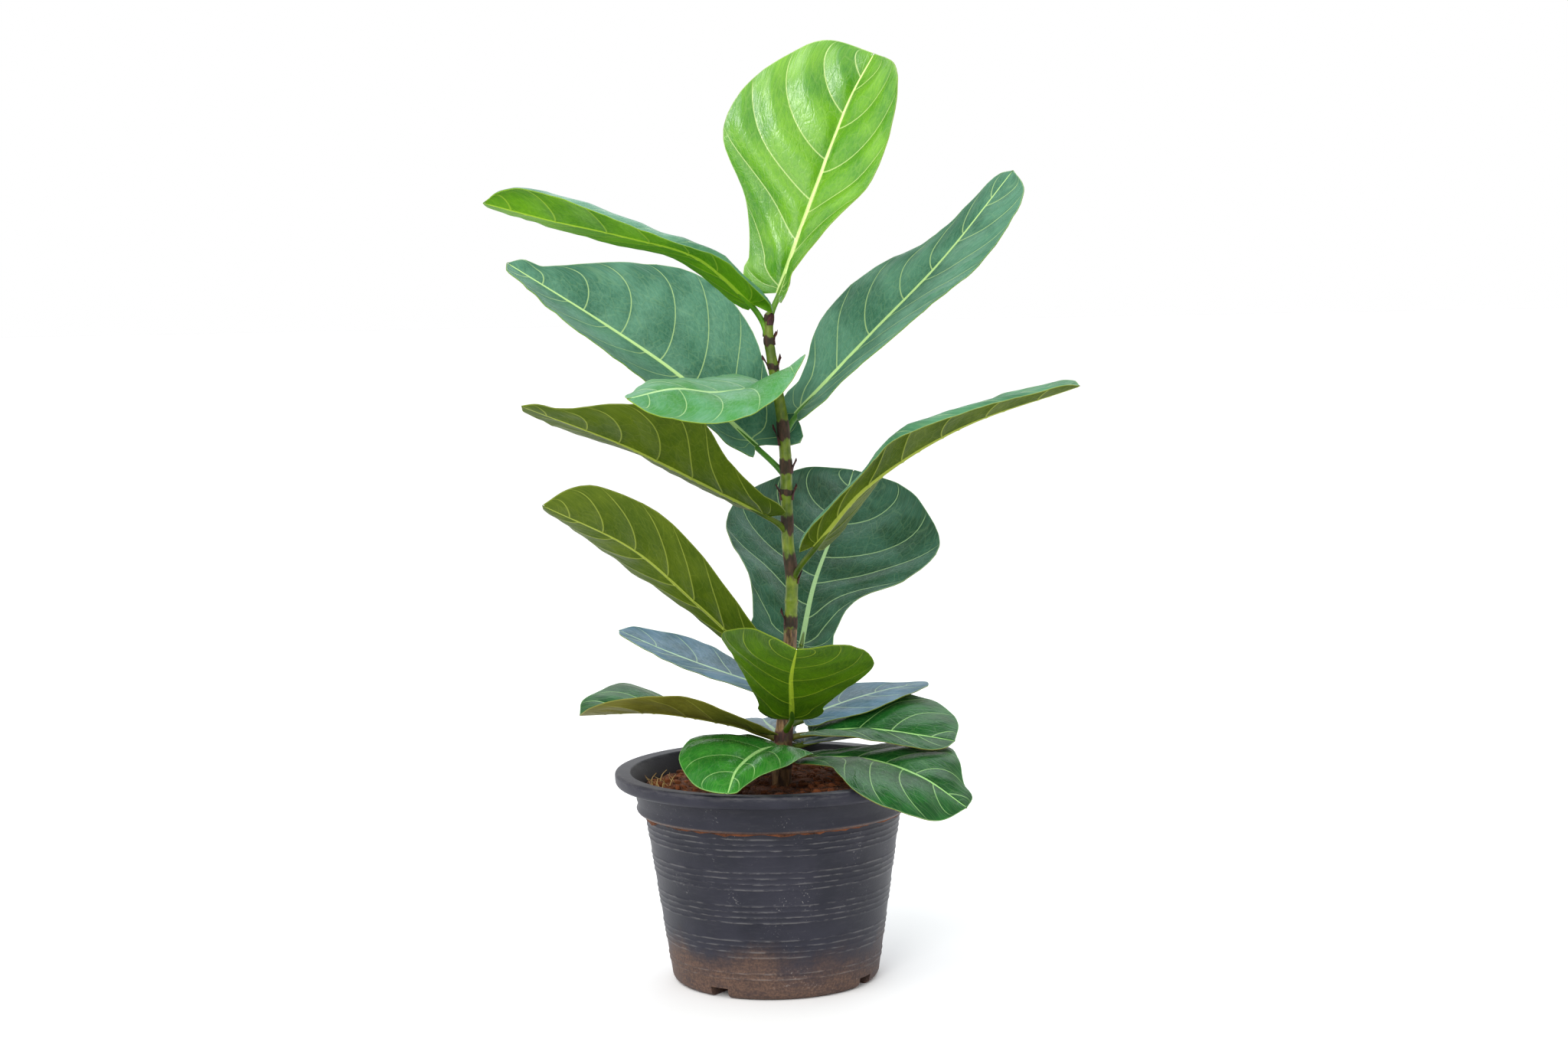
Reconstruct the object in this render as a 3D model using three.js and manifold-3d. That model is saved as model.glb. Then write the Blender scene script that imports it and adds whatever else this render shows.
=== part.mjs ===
// A fiddle leaf fig growing in a round nursery pot.
// Millimetres, +Z up. The origin is the middle of the pot's flat base.
// The front of the plant looks along -Y.

import * as THREE from 'three';
import { mergeVertices } from 'three/addons/utils/BufferGeometryUtils.js';
import Module from 'manifold-3d';

// ---------------------------------------------------------------- driving dimensions

const RIM_RADIUS = 152; // a 12 inch pot, measured over the rim
const RIM_TOP = 204;
const RIM_HEIGHT = 13;
const RIM_WIDTH = 15;
const RIM_EDGE = 2; // its outer edges are rounded by this much
const RIM_SIDE = 3; // and from this far above and below
const RIM_LIP = 6; // the hollow under it starts this far in
const COLLAR_RADIUS = 132.5;
const COLLAR_FOOT = 164; // where the collar turns in to the body
const COLLAR_STEP = 4;
const COLLAR_TURN = 3;
const COLLAR_ROUND = 11;
const COLLAR_DRAFT = 0.8;
const INNER_STEP = 5; // the same turn, inside the wall
const BODY_TOP_RADIUS = 123.5;
const BODY_FOOT_RADIUS = 100.5;
const BODY_DRAFT = 8; // degrees
const FOOT_ROUND = 8;
const WALL = 2.6;
const FLOOR = 3;
const POT_SEGMENTS = 72;

const DRAIN_ANGLES = [-122, -32, 58, 148]; // degrees from +X, seen from above
const DRAIN_WIDTH = 19;
const DRAIN_HEIGHT = 10;
const DRAIN_INNER_RADIUS = 68; // the channel runs from here out through the wall
const DRAIN_SKIN = 2.4;

const SOIL_TOP = 184;
const SOIL_RISE = 2; // how much higher the soil is in the middle
const SOIL_BRINK = 100; // where it starts to fall off to the wall
const SOIL_CROWN = 55;
const SOIL_STEP = 5.2;
const SOIL_EASE = 0.55; // extra room between soil and wall
const GAP = 0.35; // between pieces that rest on each other

const HUSK_ROUGH = 0.16;
const HUSK_TURN = 2.3;
const HUSK_FLAT = 0.35;
const HUSK_NARROW = 0.8;

const STEM_FOOT = 150; // the stem goes on below the soil
const STEM_SIDES = 12;

const LEAF_THICKNESS = 1.6;
const LEAF_ROWS = 14;
const LEAF_COLUMNS = 3; // on each side of the midrib
const FIRST_WIDTH = 0.1; // the half widths are given from here to as far before the tip
const FRAME_STEP = 0.03; // how far apart the midrib is read to find its direction
const LENGTH_STEPS = 200;
const CURL_SHAPE = 9.5; // brings the peak of the curl to its stated height
const STIPULE_THICKNESS = 0.8;
const STIPULE_WRAP = 34; // degrees it reaches round the stem on each side, at its foot
const STIPULE_TAPER = 0.8;
const PEEL_FOOT = 1.3; // how far it stands off the stem, at its foot and more at its tip
const PEEL_TIP = 3;
const PETIOLE_RADIUS = 3;
const PETIOLE_STEPS = 7;
const PETIOLE_SIDES = 7;
const BEND_PLACE = 0.55; // where along the petiole it bends
const BEND_LEAD = 0.12; // and how strongly
const PETIOLE_REACH = 0.09; // how far it runs on under the midrib, as a share of the blade

// The stem's middle line from the soil up: height, x, radius.
const STEM = [
  [150, 8, 8.5], [200, 9, 9.5], [240, 12, 8], [300, 18, 6.5], [350, 21, 6], [390, 23, 5.8],
  [420, 19, 5.6], [500, 19, 5.6], [545, 16, 5.5], [580, 10, 5.1], [620, 4, 4.6], [640, 6, 4.2],
];

// Stations round a blade's margin: share of the midrib, share of the half width given there.
// The first lies behind the base, where the lobes reach back.
const MARGIN_STATIONS = [
  [-0.03, 0.62], [0.03, 1], [0.1, 1], [0.3, 1], [0.5, 1], [0.7, 1], [0.9, 1], [0.97, 0.64],
];

// The leaves, from the top down. joins is the height on the stem where the petiole leaves it,
// rib the midrib's course from the base of the blade to its tip. The rest is given for the left
// half and then the right one, as seen from the upper side with the tip pointing away. half is
// the width at 10, 30, 50, 70 and 90% of the midrib. lift is how many degrees the half stands
// above level, at even steps from base to tip. cup is how far it bulges to the upper side, and
// curl a bulge near the margin that leaves the margin hanging over. ear is how much further
// the lobe reaches back behind the base.
const LEAVES = [
  {
    name: 'leaf_01', joins: 635,
    rib: [[15, 0, 660], [45, -5, 740], [85, 5, 840], [110, 10, 885]],
    half: [[40, 60, 100, 95, 60], [32, 58, 72, 76, 74]],
    lift: [[90, 80, 78], [-22, -26, -14]], cup: [3, -3], curl: [0, 0],
  },
  {
    name: 'leaf_02', joins: 620,
    rib: [[-10, -5, 650], [-60, -60, 695], [-125, -110, 715], [-190, -135, 730],
          [-245, -165, 745]],
    half: [[34, 42, 52, 58, 40], [22, 30, 46, 42, 16]],
    lift: [[-12, -3, 32], [0, -3, -8]], cup: [3, -1], curl: [6, 0],
  },
  {
    name: 'leaf_03', joins: 485,
    rib: [[-10, 10, 515], [-80, 35, 580], [-150, 55, 630], [-250, 70, 695]],
    half: [[45, 76, 88, 70, 28], [55, 88, 100, 72, 20]],
    lift: [[-5, -2, -14], [60, 55, 50]], cup: [-4, 3], curl: [0, 0], ear: [2, 20],
  },
  {
    name: 'leaf_04', joins: 520,
    rib: [[30, 10, 545], [105, 40, 620], [175, 55, 690], [245, 60, 775]],
    half: [[26, 60, 64, 34, 22], [38, 58, 62, 62, 46]],
    lift: [[35, 35, 30], [3, 0, -20, -35]], cup: [3, 1], curl: [0, 0],
  },
  {
    name: 'leaf_05', joins: 560,
    rib: [[5, -10, 572], [-45, -85, 570], [-80, -130, 576], [-120, -190, 570]],
    half: [[55, 58, 60, 52, 32], [38, 35, 36, 26, 12]],
    lift: [[38, -5, -36, -38], [20, 20, 10]], cup: [-2, 3], curl: [0, 0],
  },
  {
    name: 'leaf_06', joins: 430,
    rib: [[0, -15, 450], [-85, -80, 500], [-135, -115, 528], [-215, -175, 565]],
    half: [[26, 42, 68, 58, 16], [35, 45, 46, 34, 14]],
    lift: [[20, 38, 25], [5, 8, -18]], cup: [-4, 0], curl: [0, 0],
  },
  {
    name: 'leaf_07', joins: 385,
    rib: [[45, -25, 420], [95, -65, 480], [180, -105, 535], [285, -140, 572]],
    half: [[30, 42, 50, 48, 32], [24, 26, 56, 40, 26]],
    lift: [[5, 18, 22], [8, 12, 12]], cup: [0, 3], curl: [0, 8],
  },
  {
    name: 'leaf_08', joins: 280,
    rib: [[30, 35, 315], [45, 100, 370], [70, 170, 425], [90, 230, 475]],
    half: [[52, 66, 104, 104, 66], [30, 44, 88, 108, 76]],
    lift: [[20, 20, 15], [-14, -20, -14]], cup: [-5, -5], curl: [0, 0],
  },
  {
    name: 'leaf_09', joins: 290,
    rib: [[-10, -22, 312], [-70, -60, 375], [-125, -105, 430], [-200, -160, 475]],
    half: [[30, 40, 46, 52, 44], [20, 24, 36, 36, 14]],
    lift: [[20, 30, 48], [-10, -10, -15]], cup: [-4, -4], curl: [0, 0],
  },
  {
    name: 'leaf_10', joins: 236,
    rib: [[20, -30, 256], [20, -80, 285], [20, -125, 310], [25, -230, 350]],
    half: [[30, 52, 74, 70, 50], [32, 42, 56, 70, 50]],
    lift: [[5, 5, 8], [12, 22, 32]], cup: [-5, -5], curl: [0, 0],
  },
  {
    name: 'leaf_11', joins: 270,
    rib: [[0, 8, 280], [-55, 35, 296], [-105, 60, 312], [-150, 80, 330]],
    half: [[20, 22, 22, 18, 12], [22, 32, 44, 42, 24]],
    lift: [[-8, -8, -5], [8, 10, 14]], cup: [1, -2], curl: [0, 0],
  },
  {
    name: 'leaf_12', joins: 225,
    rib: [[-8, 0, 238], [-45, -20, 252], [-110, -40, 266], [-180, -60, 268]],
    half: [[30, 48, 55, 52, 36], [14, 22, 48, 66, 34]],
    lift: [[5, 24, 26], [-10, 10, 28]], cup: [-3, 5], curl: [0, 0],
  },
  {
    name: 'leaf_13', joins: 240,
    rib: [[30, 15, 248], [60, 30, 258], [110, 45, 270], [155, 60, 275]],
    half: [[36, 50, 50, 32, 12], [25, 36, 38, 30, 18]],
    lift: [[8, 5, 3], [-10, -10, -5]], cup: [-2, 1], curl: [0, 0],
  },
  {
    name: 'leaf_14', joins: 228,
    rib: [[36, 5, 236], [90, -10, 241], [140, -25, 237], [175, -35, 232]],
    half: [[30, 50, 72, 72, 50], [28, 34, 36, 36, 30]],
    lift: [[15, 20, 18], [5, -5, -12]], cup: [3, 2], curl: [0, 0],
  },
  {
    name: 'leaf_15', joins: 228,
    rib: [[8, 20, 230], [0, 70, 230], [-5, 125, 225], [-10, 180, 222]],
    half: [[18, 26, 30, 26, 16], [18, 26, 30, 26, 16]],
    lift: [[10, 10, 10], [10, 10, 10]], cup: [2, 2], curl: [0, 0],
  },
  {
    name: 'leaf_16', joins: 216,
    rib: [[30, 16, 224], [75, 45, 226], [130, 100, 222]],
    half: [[20, 36, 42, 36, 20], [14, 24, 28, 24, 15]],
    lift: [[5, 5, 5], [5, 5, 5]], cup: [2, 2], curl: [0, 0],
  },
  {
    name: 'leaf_17', joins: 220,
    rib: [[10, -15, 226], [-10, -50, 229], [-32, -110, 222], [-40, -152, 208]],
    half: [[38, 40, 36, 24, 12], [40, 58, 62, 56, 36]],
    lift: [[-5, -10, -10], [15, 12, 2]], cup: [4, 4], curl: [0, 0],
  },
  {
    name: 'leaf_18', joins: 210,
    rib: [[35, -12, 215], [90, -40, 217], [140, -95, 209], [180, -118, 184]],
    half: [[26, 55, 70, 56, 30], [35, 52, 66, 74, 52]],
    lift: [[8, 8, 10], [0, 1, -20]], cup: [3, 4], curl: [0, 0],
  },
];

// Papery bud scales that stay on the stem: height, turn in degrees from +X, length.
const STIPULES = [
  [636, 285, 12], [625, 130, 12], [618, 15, 14], [595, 170, 12], [595, 10, 13], [525, 185, 20],
  [495, 0, 14], [470, 172, 15], [470, 5, 15], [390, 10, 16], [350, 180, 15], [255, 345, 14],
];

// Lumps of coconut husk lying on the soil: x, y, size.
const HUSK_CHIPS = [[-104, -52, 15], [-84, -78, 10], [-113, -20, 9], [60, -108, 8], [20, -118, 7]];

// ---------------------------------------------------------------- materials

function material(color, roughness, metalness = 0) {
  return new THREE.MeshStandardMaterial({ color, roughness, metalness });
}

const potPlastic = material(0x2b2c33, 0.45);
const coir = material(0x6b3d22, 0.95);
const bark = material(0x5d6b1f, 0.6);
const paperScale = material(0x3d2026, 0.8);
const leafGreens = [0x6fb52a, 0x4f8a12, 0x3f7a5c, 0x3c7a56, 0x57a06a, 0x55701a];

// ---------------------------------------------------------------- solids

const wasm = await Module();
wasm.setup();

// A closed three.js geometry as a solid that can be cut and joined.
function toSolid(geometry) {
  const bare = geometry.clone();
  bare.deleteAttribute('normal');
  bare.deleteAttribute('uv');
  const merged = mergeVertices(bare, 1e-4);
  const index = merged.index.array;
  const faces = [];
  for (let i = 0; i < index.length; i += 3) {
    const [a, b, c] = [index[i], index[i + 1], index[i + 2]];
    if (a !== b && b !== c && c !== a) faces.push(a, b, c);
  }
  const solid = new wasm.Manifold(new wasm.Mesh({
    numProp: 3,
    vertProperties: new Float32Array(merged.getAttribute('position').array),
    triVerts: new Uint32Array(faces),
  }));
  return solid;
}

function toGeometry(solid) {
  const mesh = solid.getMesh();
  const geometry = new THREE.BufferGeometry();
  geometry.setAttribute('position', new THREE.BufferAttribute(mesh.vertProperties, 3));
  geometry.setIndex(new THREE.BufferAttribute(mesh.triVerts, 1));
  geometry.computeVertexNormals();
  return geometry;
}

// A lathe stands on +Z here: its profile is a list of [radius, height].
function lathe(profile, segments) {
  const points = profile.map(([radius, height]) => new THREE.Vector2(radius, height));
  return new THREE.LatheGeometry(points, segments).rotateX(Math.PI / 2);
}

function tube(points, radius, steps, sides) {
  const section = new THREE.Shape();
  for (let i = 0; i < sides; i += 1) {
    const angle = (2 * Math.PI * i) / sides;
    const corner = [radius * Math.cos(angle), radius * Math.sin(angle)];
    if (i === 0) section.moveTo(...corner);
    else section.lineTo(...corner);
  }
  section.closePath();
  const extrudePath = new THREE.CatmullRomCurve3(points, false, 'centripetal');
  return new THREE.ExtrudeGeometry(section, { steps, extrudePath, bevelEnabled: false });
}

const radians = (degrees) => (degrees * Math.PI) / 180;

// ---------------------------------------------------------------- pot

// A quarter round from one corner point to the next, bulging away from centre.
function round(centreRadius, centreHeight, radius, from, to, steps) {
  const points = [];
  for (let i = 0; i <= steps; i += 1) {
    const angle = radians(from + ((to - from) * i) / steps);
    points.push([centreRadius + radius * Math.cos(angle), centreHeight + radius * Math.sin(angle)]);
  }
  return points;
}

function drainBlock(angle, width, height, innerRadius, outerRadius) {
  const length = outerRadius - innerRadius;
  return new THREE.BoxGeometry(length, width, 2 * height)
    .translate(innerRadius + length / 2, 0, 0)
    .rotateZ(radians(angle));
}

function potGeometry() {
  const rimBottom = RIM_TOP - RIM_HEIGHT;
  const outside = [
    [0, 0],
    ...round(BODY_FOOT_RADIUS - FOOT_ROUND, FOOT_ROUND, FOOT_ROUND, -90, -BODY_DRAFT, 3),
    [BODY_TOP_RADIUS, COLLAR_FOOT],
    [COLLAR_RADIUS - COLLAR_TURN, COLLAR_FOOT + COLLAR_STEP],
    [COLLAR_RADIUS - COLLAR_DRAFT, COLLAR_FOOT + COLLAR_ROUND],
    [COLLAR_RADIUS, rimBottom],
    [RIM_RADIUS - RIM_LIP, rimBottom],
    [RIM_RADIUS - RIM_EDGE, rimBottom + RIM_SIDE],
    [RIM_RADIUS, RIM_TOP - RIM_SIDE],
    [RIM_RADIUS - RIM_EDGE, RIM_TOP],
  ];
  const inside = [
    [RIM_RADIUS - RIM_WIDTH, RIM_TOP],
    [RIM_RADIUS - RIM_WIDTH - RIM_EDGE, RIM_TOP - WALL],
    [COLLAR_RADIUS - WALL, rimBottom - RIM_EDGE],
    [COLLAR_RADIUS - COLLAR_STEP - WALL, COLLAR_FOOT + INNER_STEP],
    [BODY_TOP_RADIUS - WALL, COLLAR_FOOT - RIM_EDGE],
    [BODY_FOOT_RADIUS - WALL, FOOT_ROUND + FLOOR],
    [BODY_FOOT_RADIUS - FOOT_ROUND, FLOOR],
    [0, FLOOR],
  ];
  const outerFoot = BODY_FOOT_RADIUS + FOOT_ROUND;
  const envelope = toSolid(lathe([...outside, [0, RIM_TOP]], POT_SEGMENTS));
  let pot = toSolid(lathe([...outside, ...inside], POT_SEGMENTS));
  for (const angle of DRAIN_ANGLES) {
    const roof = toSolid(drainBlock(
      angle,
      DRAIN_WIDTH + 2 * DRAIN_SKIN,
      DRAIN_HEIGHT + DRAIN_SKIN,
      DRAIN_INNER_RADIUS - DRAIN_SKIN,
      outerFoot,
    ));
    pot = pot.add(roof.intersect(envelope));
  }
  for (const angle of DRAIN_ANGLES) {
    const channel = drainBlock(angle, DRAIN_WIDTH, DRAIN_HEIGHT, DRAIN_INNER_RADIUS, outerFoot);
    pot = pot.subtract(toSolid(channel));
  }
  return toGeometry(pot);
}

// ---------------------------------------------------------------- stem and soil

// The stem's middle line and radius at a height.
function stemAt(height) {
  let i = 0;
  while (i < STEM.length - 2 && height > STEM[i + 1][0]) i += 1;
  const [z0, x0, r0] = STEM[i];
  const [z1, x1, r1] = STEM[i + 1];
  const share = THREE.MathUtils.clamp((height - z0) / (z1 - z0), 0, 1);
  return { x: x0 + (x1 - x0) * share, radius: r0 + (r1 - r0) * share };
}

// A lathe of the stem's radii, leaned over to follow its middle line.
function stemSolid(extra) {
  const top = STEM[STEM.length - 1][0] + extra;
  const foot = STEM_FOOT - extra;
  const rings = STEM.slice(1, -1).map(([height, , radius]) => [radius + extra, height]);
  const profile = [
    [0, foot], [stemAt(foot).radius + extra, foot],
    ...rings,
    [stemAt(top).radius + extra, top], [0, top],
  ];
  const geometry = lathe(profile, STEM_SIDES);
  const position = geometry.getAttribute('position');
  for (let i = 0; i < position.count; i += 1) {
    position.setX(i, position.getX(i) + stemAt(position.getZ(i)).x);
  }
  return toSolid(geometry);
}

const stemSolidExact = stemSolid(0);
const stemSpace = stemSolid(GAP);

// The soil fills the pot and is pressed down a little towards the wall.
function soilGeometry() {
  const inset = WALL + GAP + SOIL_EASE;
  const profile = [
    [0, FLOOR + GAP],
    [BODY_FOOT_RADIUS - FOOT_ROUND - SOIL_RISE, FLOOR + GAP],
    [BODY_FOOT_RADIUS - inset, FOOT_ROUND + FLOOR + 1],
    [BODY_TOP_RADIUS - inset, COLLAR_FOOT - RIM_SIDE],
    [COLLAR_RADIUS - SOIL_STEP - inset, COLLAR_FOOT + INNER_STEP],
    [COLLAR_RADIUS - SOIL_RISE - inset, SOIL_TOP - SOIL_RISE],
    [SOIL_BRINK, SOIL_TOP - SOIL_RISE / 4],
    [SOIL_CROWN, SOIL_TOP + SOIL_RISE / 2],
    [0, SOIL_TOP + SOIL_RISE],
  ];
  let soil = toSolid(lathe(profile, POT_SEGMENTS)).subtract(stemSpace);
  for (const angle of DRAIN_ANGLES) {
    const skin = DRAIN_SKIN + GAP;
    soil = soil.subtract(toSolid(drainBlock(
      angle,
      DRAIN_WIDTH + 2 * skin,
      DRAIN_HEIGHT + skin,
      DRAIN_INNER_RADIUS - skin,
      BODY_FOOT_RADIUS + FOOT_ROUND,
    )));
  }
  return toGeometry(soil);
}

// A lump of husk is a rough ball, flattened underneath where it lies on the soil.
function huskGeometry([x, y, size], seed) {
  const geometry = mergeVertices(new THREE.IcosahedronGeometry(size, 1).deleteAttribute('normal')
    .deleteAttribute('uv'));
  const position = geometry.getAttribute('position');
  for (let i = 0; i < position.count; i += 1) {
    const rough = 1 - HUSK_ROUGH + HUSK_ROUGH * Math.sin(HUSK_TURN * i + seed);
    const lift = HUSK_FLAT * (size + position.getZ(i)) * rough;
    const height = SOIL_TOP + SOIL_RISE / 2 + GAP + lift;
    const [across, deep] = [position.getX(i) * rough, HUSK_NARROW * position.getY(i) * rough];
    position.setXYZ(i, x + across, y + deep, height);
  }
  return geometry;
}

// ---------------------------------------------------------------- leaves

// A smooth curve through points, read at a share of its length from 0 to 1.
function smoothCurve(points) {
  const reach = [0];
  for (let i = 1; i < points.length; i += 1) {
    reach.push(reach[i - 1] + points[i].distanceTo(points[i - 1]));
  }
  const total = reach[reach.length - 1];
  const knots = reach.map((length) => length / total);
  const last = points.length - 1;
  const slopes = points.map((point, i) => {
    const before = Math.max(i - 1, 0);
    const after = Math.min(i + 1, last);
    return points[after].clone().sub(points[before]).divideScalar(knots[after] - knots[before]);
  });
  return (share) => {
    let i = 0;
    while (i < last - 1 && share > knots[i + 1]) i += 1;
    const span = knots[i + 1] - knots[i];
    const k = (share - knots[i]) / span;
    const point = points[i].clone().multiplyScalar(2 * k ** 3 - 3 * k ** 2 + 1);
    point.addScaledVector(slopes[i], (k ** 3 - 2 * k ** 2 + k) * span);
    point.addScaledVector(points[i + 1], 3 * k ** 2 - 2 * k ** 3);
    point.addScaledVector(slopes[i + 1], (k ** 3 - k ** 2) * span);
    return point;
  };
}

// A value read from an even list, at a share of the way from its first entry to its last.
function readList(list, share) {
  const place = THREE.MathUtils.clamp(share, 0, 1) * (list.length - 1);
  const i = Math.min(Math.floor(place), list.length - 2);
  return THREE.MathUtils.lerp(list[i], list[i + 1], place - i);
}

// The blade's own directions at a share of the midrib: along it, and level to its right, and
// square to both on the upper side.
function bladeFrame(ribCurve, share) {
  const from = ribCurve(Math.max(share - FRAME_STEP, 0));
  const along = ribCurve(Math.min(share + FRAME_STEP, 1)).sub(from).normalize();
  const right = along.clone().cross(new THREE.Vector3(0, 0, 1)).normalize();
  return { along, right, upper: right.clone().cross(along) };
}

function marginPoints(leaf, k, ribCurve, length) {
  return MARGIN_STATIONS.map(([station, fullness]) => {
    const share = Math.max(station, 0);
    const { along, right, upper } = bladeFrame(ribCurve, share);
    const lift = radians(readList(leaf.lift[k], share));
    const widthPlace = (station - FIRST_WIDTH) / (1 - 2 * FIRST_WIDTH);
    const width = fullness * readList(leaf.half[k], widthPlace);
    const back = station < 0 ? -station * length + (leaf.ear ?? [0, 0])[k] : 0;
    return ribCurve(share)
      .addScaledVector(along, -back)
      .addScaledVector(right, (k === 0 ? -1 : 1) * width * Math.cos(lift))
      .addScaledVector(upper, width * Math.sin(lift));
  });
}

function curveLength(curve, steps) {
  let length = 0;
  for (let i = 0; i < steps; i += 1) {
    length += curve(i / steps).distanceTo(curve((i + 1) / steps));
  }
  return length;
}

// The middle sheet of a blade: rows from base to tip, columns from left margin to right.
function bladeSheet(leaf) {
  const rib = leaf.rib.map(([x, y, z]) => new THREE.Vector3(x, y, z));
  const [base, tip] = [rib[0], rib[rib.length - 1]];
  const ribCurve = smoothCurve(rib);
  const length = curveLength(ribCurve, LENGTH_STEPS);
  const sides = [-1, 1].map((sign, k) => ({
    sign,
    cup: leaf.cup[k],
    curl: leaf.curl[k],
    curve: smoothCurve([base, ...marginPoints(leaf, k, ribCurve, length), tip]),
  }));
  for (const side of sides) {
    side.widest = 0;
    for (let i = 0; i <= LEAF_ROWS; i += 1) {
      const width = side.curve(i / LEAF_ROWS).distanceTo(ribCurve(i / LEAF_ROWS));
      side.widest = Math.max(side.widest, width);
    }
  }
  const rows = [];
  for (let i = 0; i <= LEAF_ROWS; i += 1) {
    const share = i / LEAF_ROWS;
    const middle = ribCurve(share);
    const step = 0.5 / LEAF_ROWS;
    const along = ribCurve(Math.min(share + step, 1)).sub(ribCurve(Math.max(share - step, 0)));
    const row = [];
    for (let j = -LEAF_COLUMNS; j <= LEAF_COLUMNS; j += 1) {
      const side = sides[j < 0 ? 0 : 1];
      const across = side.curve(share).sub(middle);
      const out = Math.abs(j) / LEAF_COLUMNS;
      const upper = across.clone().multiplyScalar(side.sign).cross(along);
      if (upper.lengthSq() > 1e-6) upper.normalize();
      const hump = 4 * side.cup * out * (1 - out) + CURL_SHAPE * side.curl * out ** 3 * (1 - out);
      const bulge = hump * (across.length() / side.widest);
      row.push(middle.clone().addScaledVector(across, out).addScaledVector(upper, bulge));
    }
    rows.push(row);
  }
  return rows;
}

// The upper side's direction at each point of a sheet.
function sheetNormals(rows) {
  const lastRow = rows.length - 1;
  const lastColumn = rows[0].length - 1;
  return rows.map((row, i) => row.map((point, j) => {
    const r = THREE.MathUtils.clamp(i, 1, lastRow - 1);
    const along = rows[r + 1][j].clone().sub(rows[r - 1][j]);
    const across = rows[r][Math.min(j + 1, lastColumn)].clone().sub(rows[r][Math.max(j - 1, 0)]);
    return across.cross(along).normalize();
  }));
}

// A sheet given a thickness: a loop of points round each row, the loops joined up, and each
// end closed. At a pointed end the whole loop is drawn in to the middle of its row.
function shellGeometry(rows, thickness, pointed) {
  const normals = sheetNormals(rows);
  const columns = rows[0].length;
  const lastRow = rows.length - 1;
  const loop = 2 * columns;
  const positions = [];
  rows.forEach((row, i) => {
    const drawnIn = pointed && (i === 0 || i === lastRow);
    for (let k = 0; k < loop; k += 1) {
      const side = k < columns ? 0.5 : -0.5;
      const column = k < columns ? k : loop - 1 - k;
      const j = drawnIn ? (columns - 1) / 2 : column;
      const point = row[j].clone().addScaledVector(normals[i][j], side * thickness);
      positions.push(...point.toArray());
    }
  });
  const index = [];
  for (let i = 0; i < lastRow; i += 1) {
    for (let k = 0; k < loop; k += 1) {
      const a = i * loop + k;
      const b = i * loop + ((k + 1) % loop);
      index.push(a, b, b + loop, a, b + loop, a + loop);
    }
  }
  const last = lastRow * loop;
  for (let k = 0; k < columns - 1; k += 1) {
    const under = loop - 1 - k;
    index.push(k, under, under - 1, k, under - 1, k + 1);
    index.push(last + k, last + under - 1, last + under);
    index.push(last + k, last + k + 1, last + under - 1);
  }
  const geometry = new THREE.BufferGeometry();
  geometry.setAttribute('position', new THREE.Float32BufferAttribute(positions, 3));
  geometry.setIndex(index);
  return geometry;
}

// The petiole leaves the stem's middle, swings up and runs on under the start of the midrib.
function petioleGeometry(leaf, rows) {
  const start = new THREE.Vector3(stemAt(leaf.joins).x, 0, leaf.joins);
  const base = rows[0][LEAF_COLUMNS];
  const onward = rows[Math.ceil(PETIOLE_REACH * LEAF_ROWS)][LEAF_COLUMNS];
  const bend = start.clone().lerp(base, BEND_PLACE);
  const lead = base.clone().sub(onward).normalize();
  bend.addScaledVector(lead, BEND_LEAD * start.distanceTo(base));
  return tube([start, bend, base, onward], PETIOLE_RADIUS, PETIOLE_STEPS, PETIOLE_SIDES);
}

function leafGeometry(leaf) {
  const rows = bladeSheet(leaf);
  const blade = toSolid(shellGeometry(rows, LEAF_THICKNESS, true));
  const petiole = toSolid(petioleGeometry(leaf, rows));
  const pieces = blade.add(petiole).subtract(stemSpace).decompose();
  pieces.sort((a, b) => b.volume() - a.volume());
  return toGeometry(pieces[0]); // anything else is a shaving left by the cut
}

// A stipule is a thin curved scale that hugs the stem and peels away at its top.
function stipuleGeometry([height, turn, length]) {
  const rows = [];
  for (let i = 0; i <= 4; i += 1) {
    const up = i / 4;
    const stem = stemAt(height + length * (up - 0.5));
    const peel = stem.radius + PEEL_FOOT + PEEL_TIP * up ** 2;
    const row = [];
    for (let j = -1; j <= 1; j += 1) {
      const angle = radians(turn + j * STIPULE_WRAP * (1 - STIPULE_TAPER * up));
      const x = stem.x + peel * Math.cos(angle);
      row.push(new THREE.Vector3(x, peel * Math.sin(angle), height + length * (up - 0.5)));
    }
    rows.push(row);
  }
  return shellGeometry(rows, STIPULE_THICKNESS, false);
}

// ---------------------------------------------------------------- assembly

const plant = new THREE.Group();

function place(name, geometry, surface) {
  const mesh = new THREE.Mesh(geometry, surface);
  mesh.name = name;
  plant.add(mesh);
}

place('pot', potGeometry(), potPlastic);
place('soil', soilGeometry(), coir);
place('stem', toGeometry(stemSolidExact), bark);
LEAVES.forEach((leaf, i) => {
  place(leaf.name, leafGeometry(leaf), material(leafGreens[i % leafGreens.length], 0.4));
});
STIPULES.forEach((stipule, i) => place(`stipule_${i + 1}`, stipuleGeometry(stipule), paperScale));
HUSK_CHIPS.forEach((chip, i) => place(`husk_chip_${i + 1}`, huskGeometry(chip, i), coir));

export default plant;
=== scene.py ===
"""Potted fiddle leaf fig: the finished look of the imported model. Metres, +Z up, -Y is the front."""

import math
import random

import bmesh
import bpy
import numpy as np
from mathutils import Matrix, Vector, noise


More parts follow.
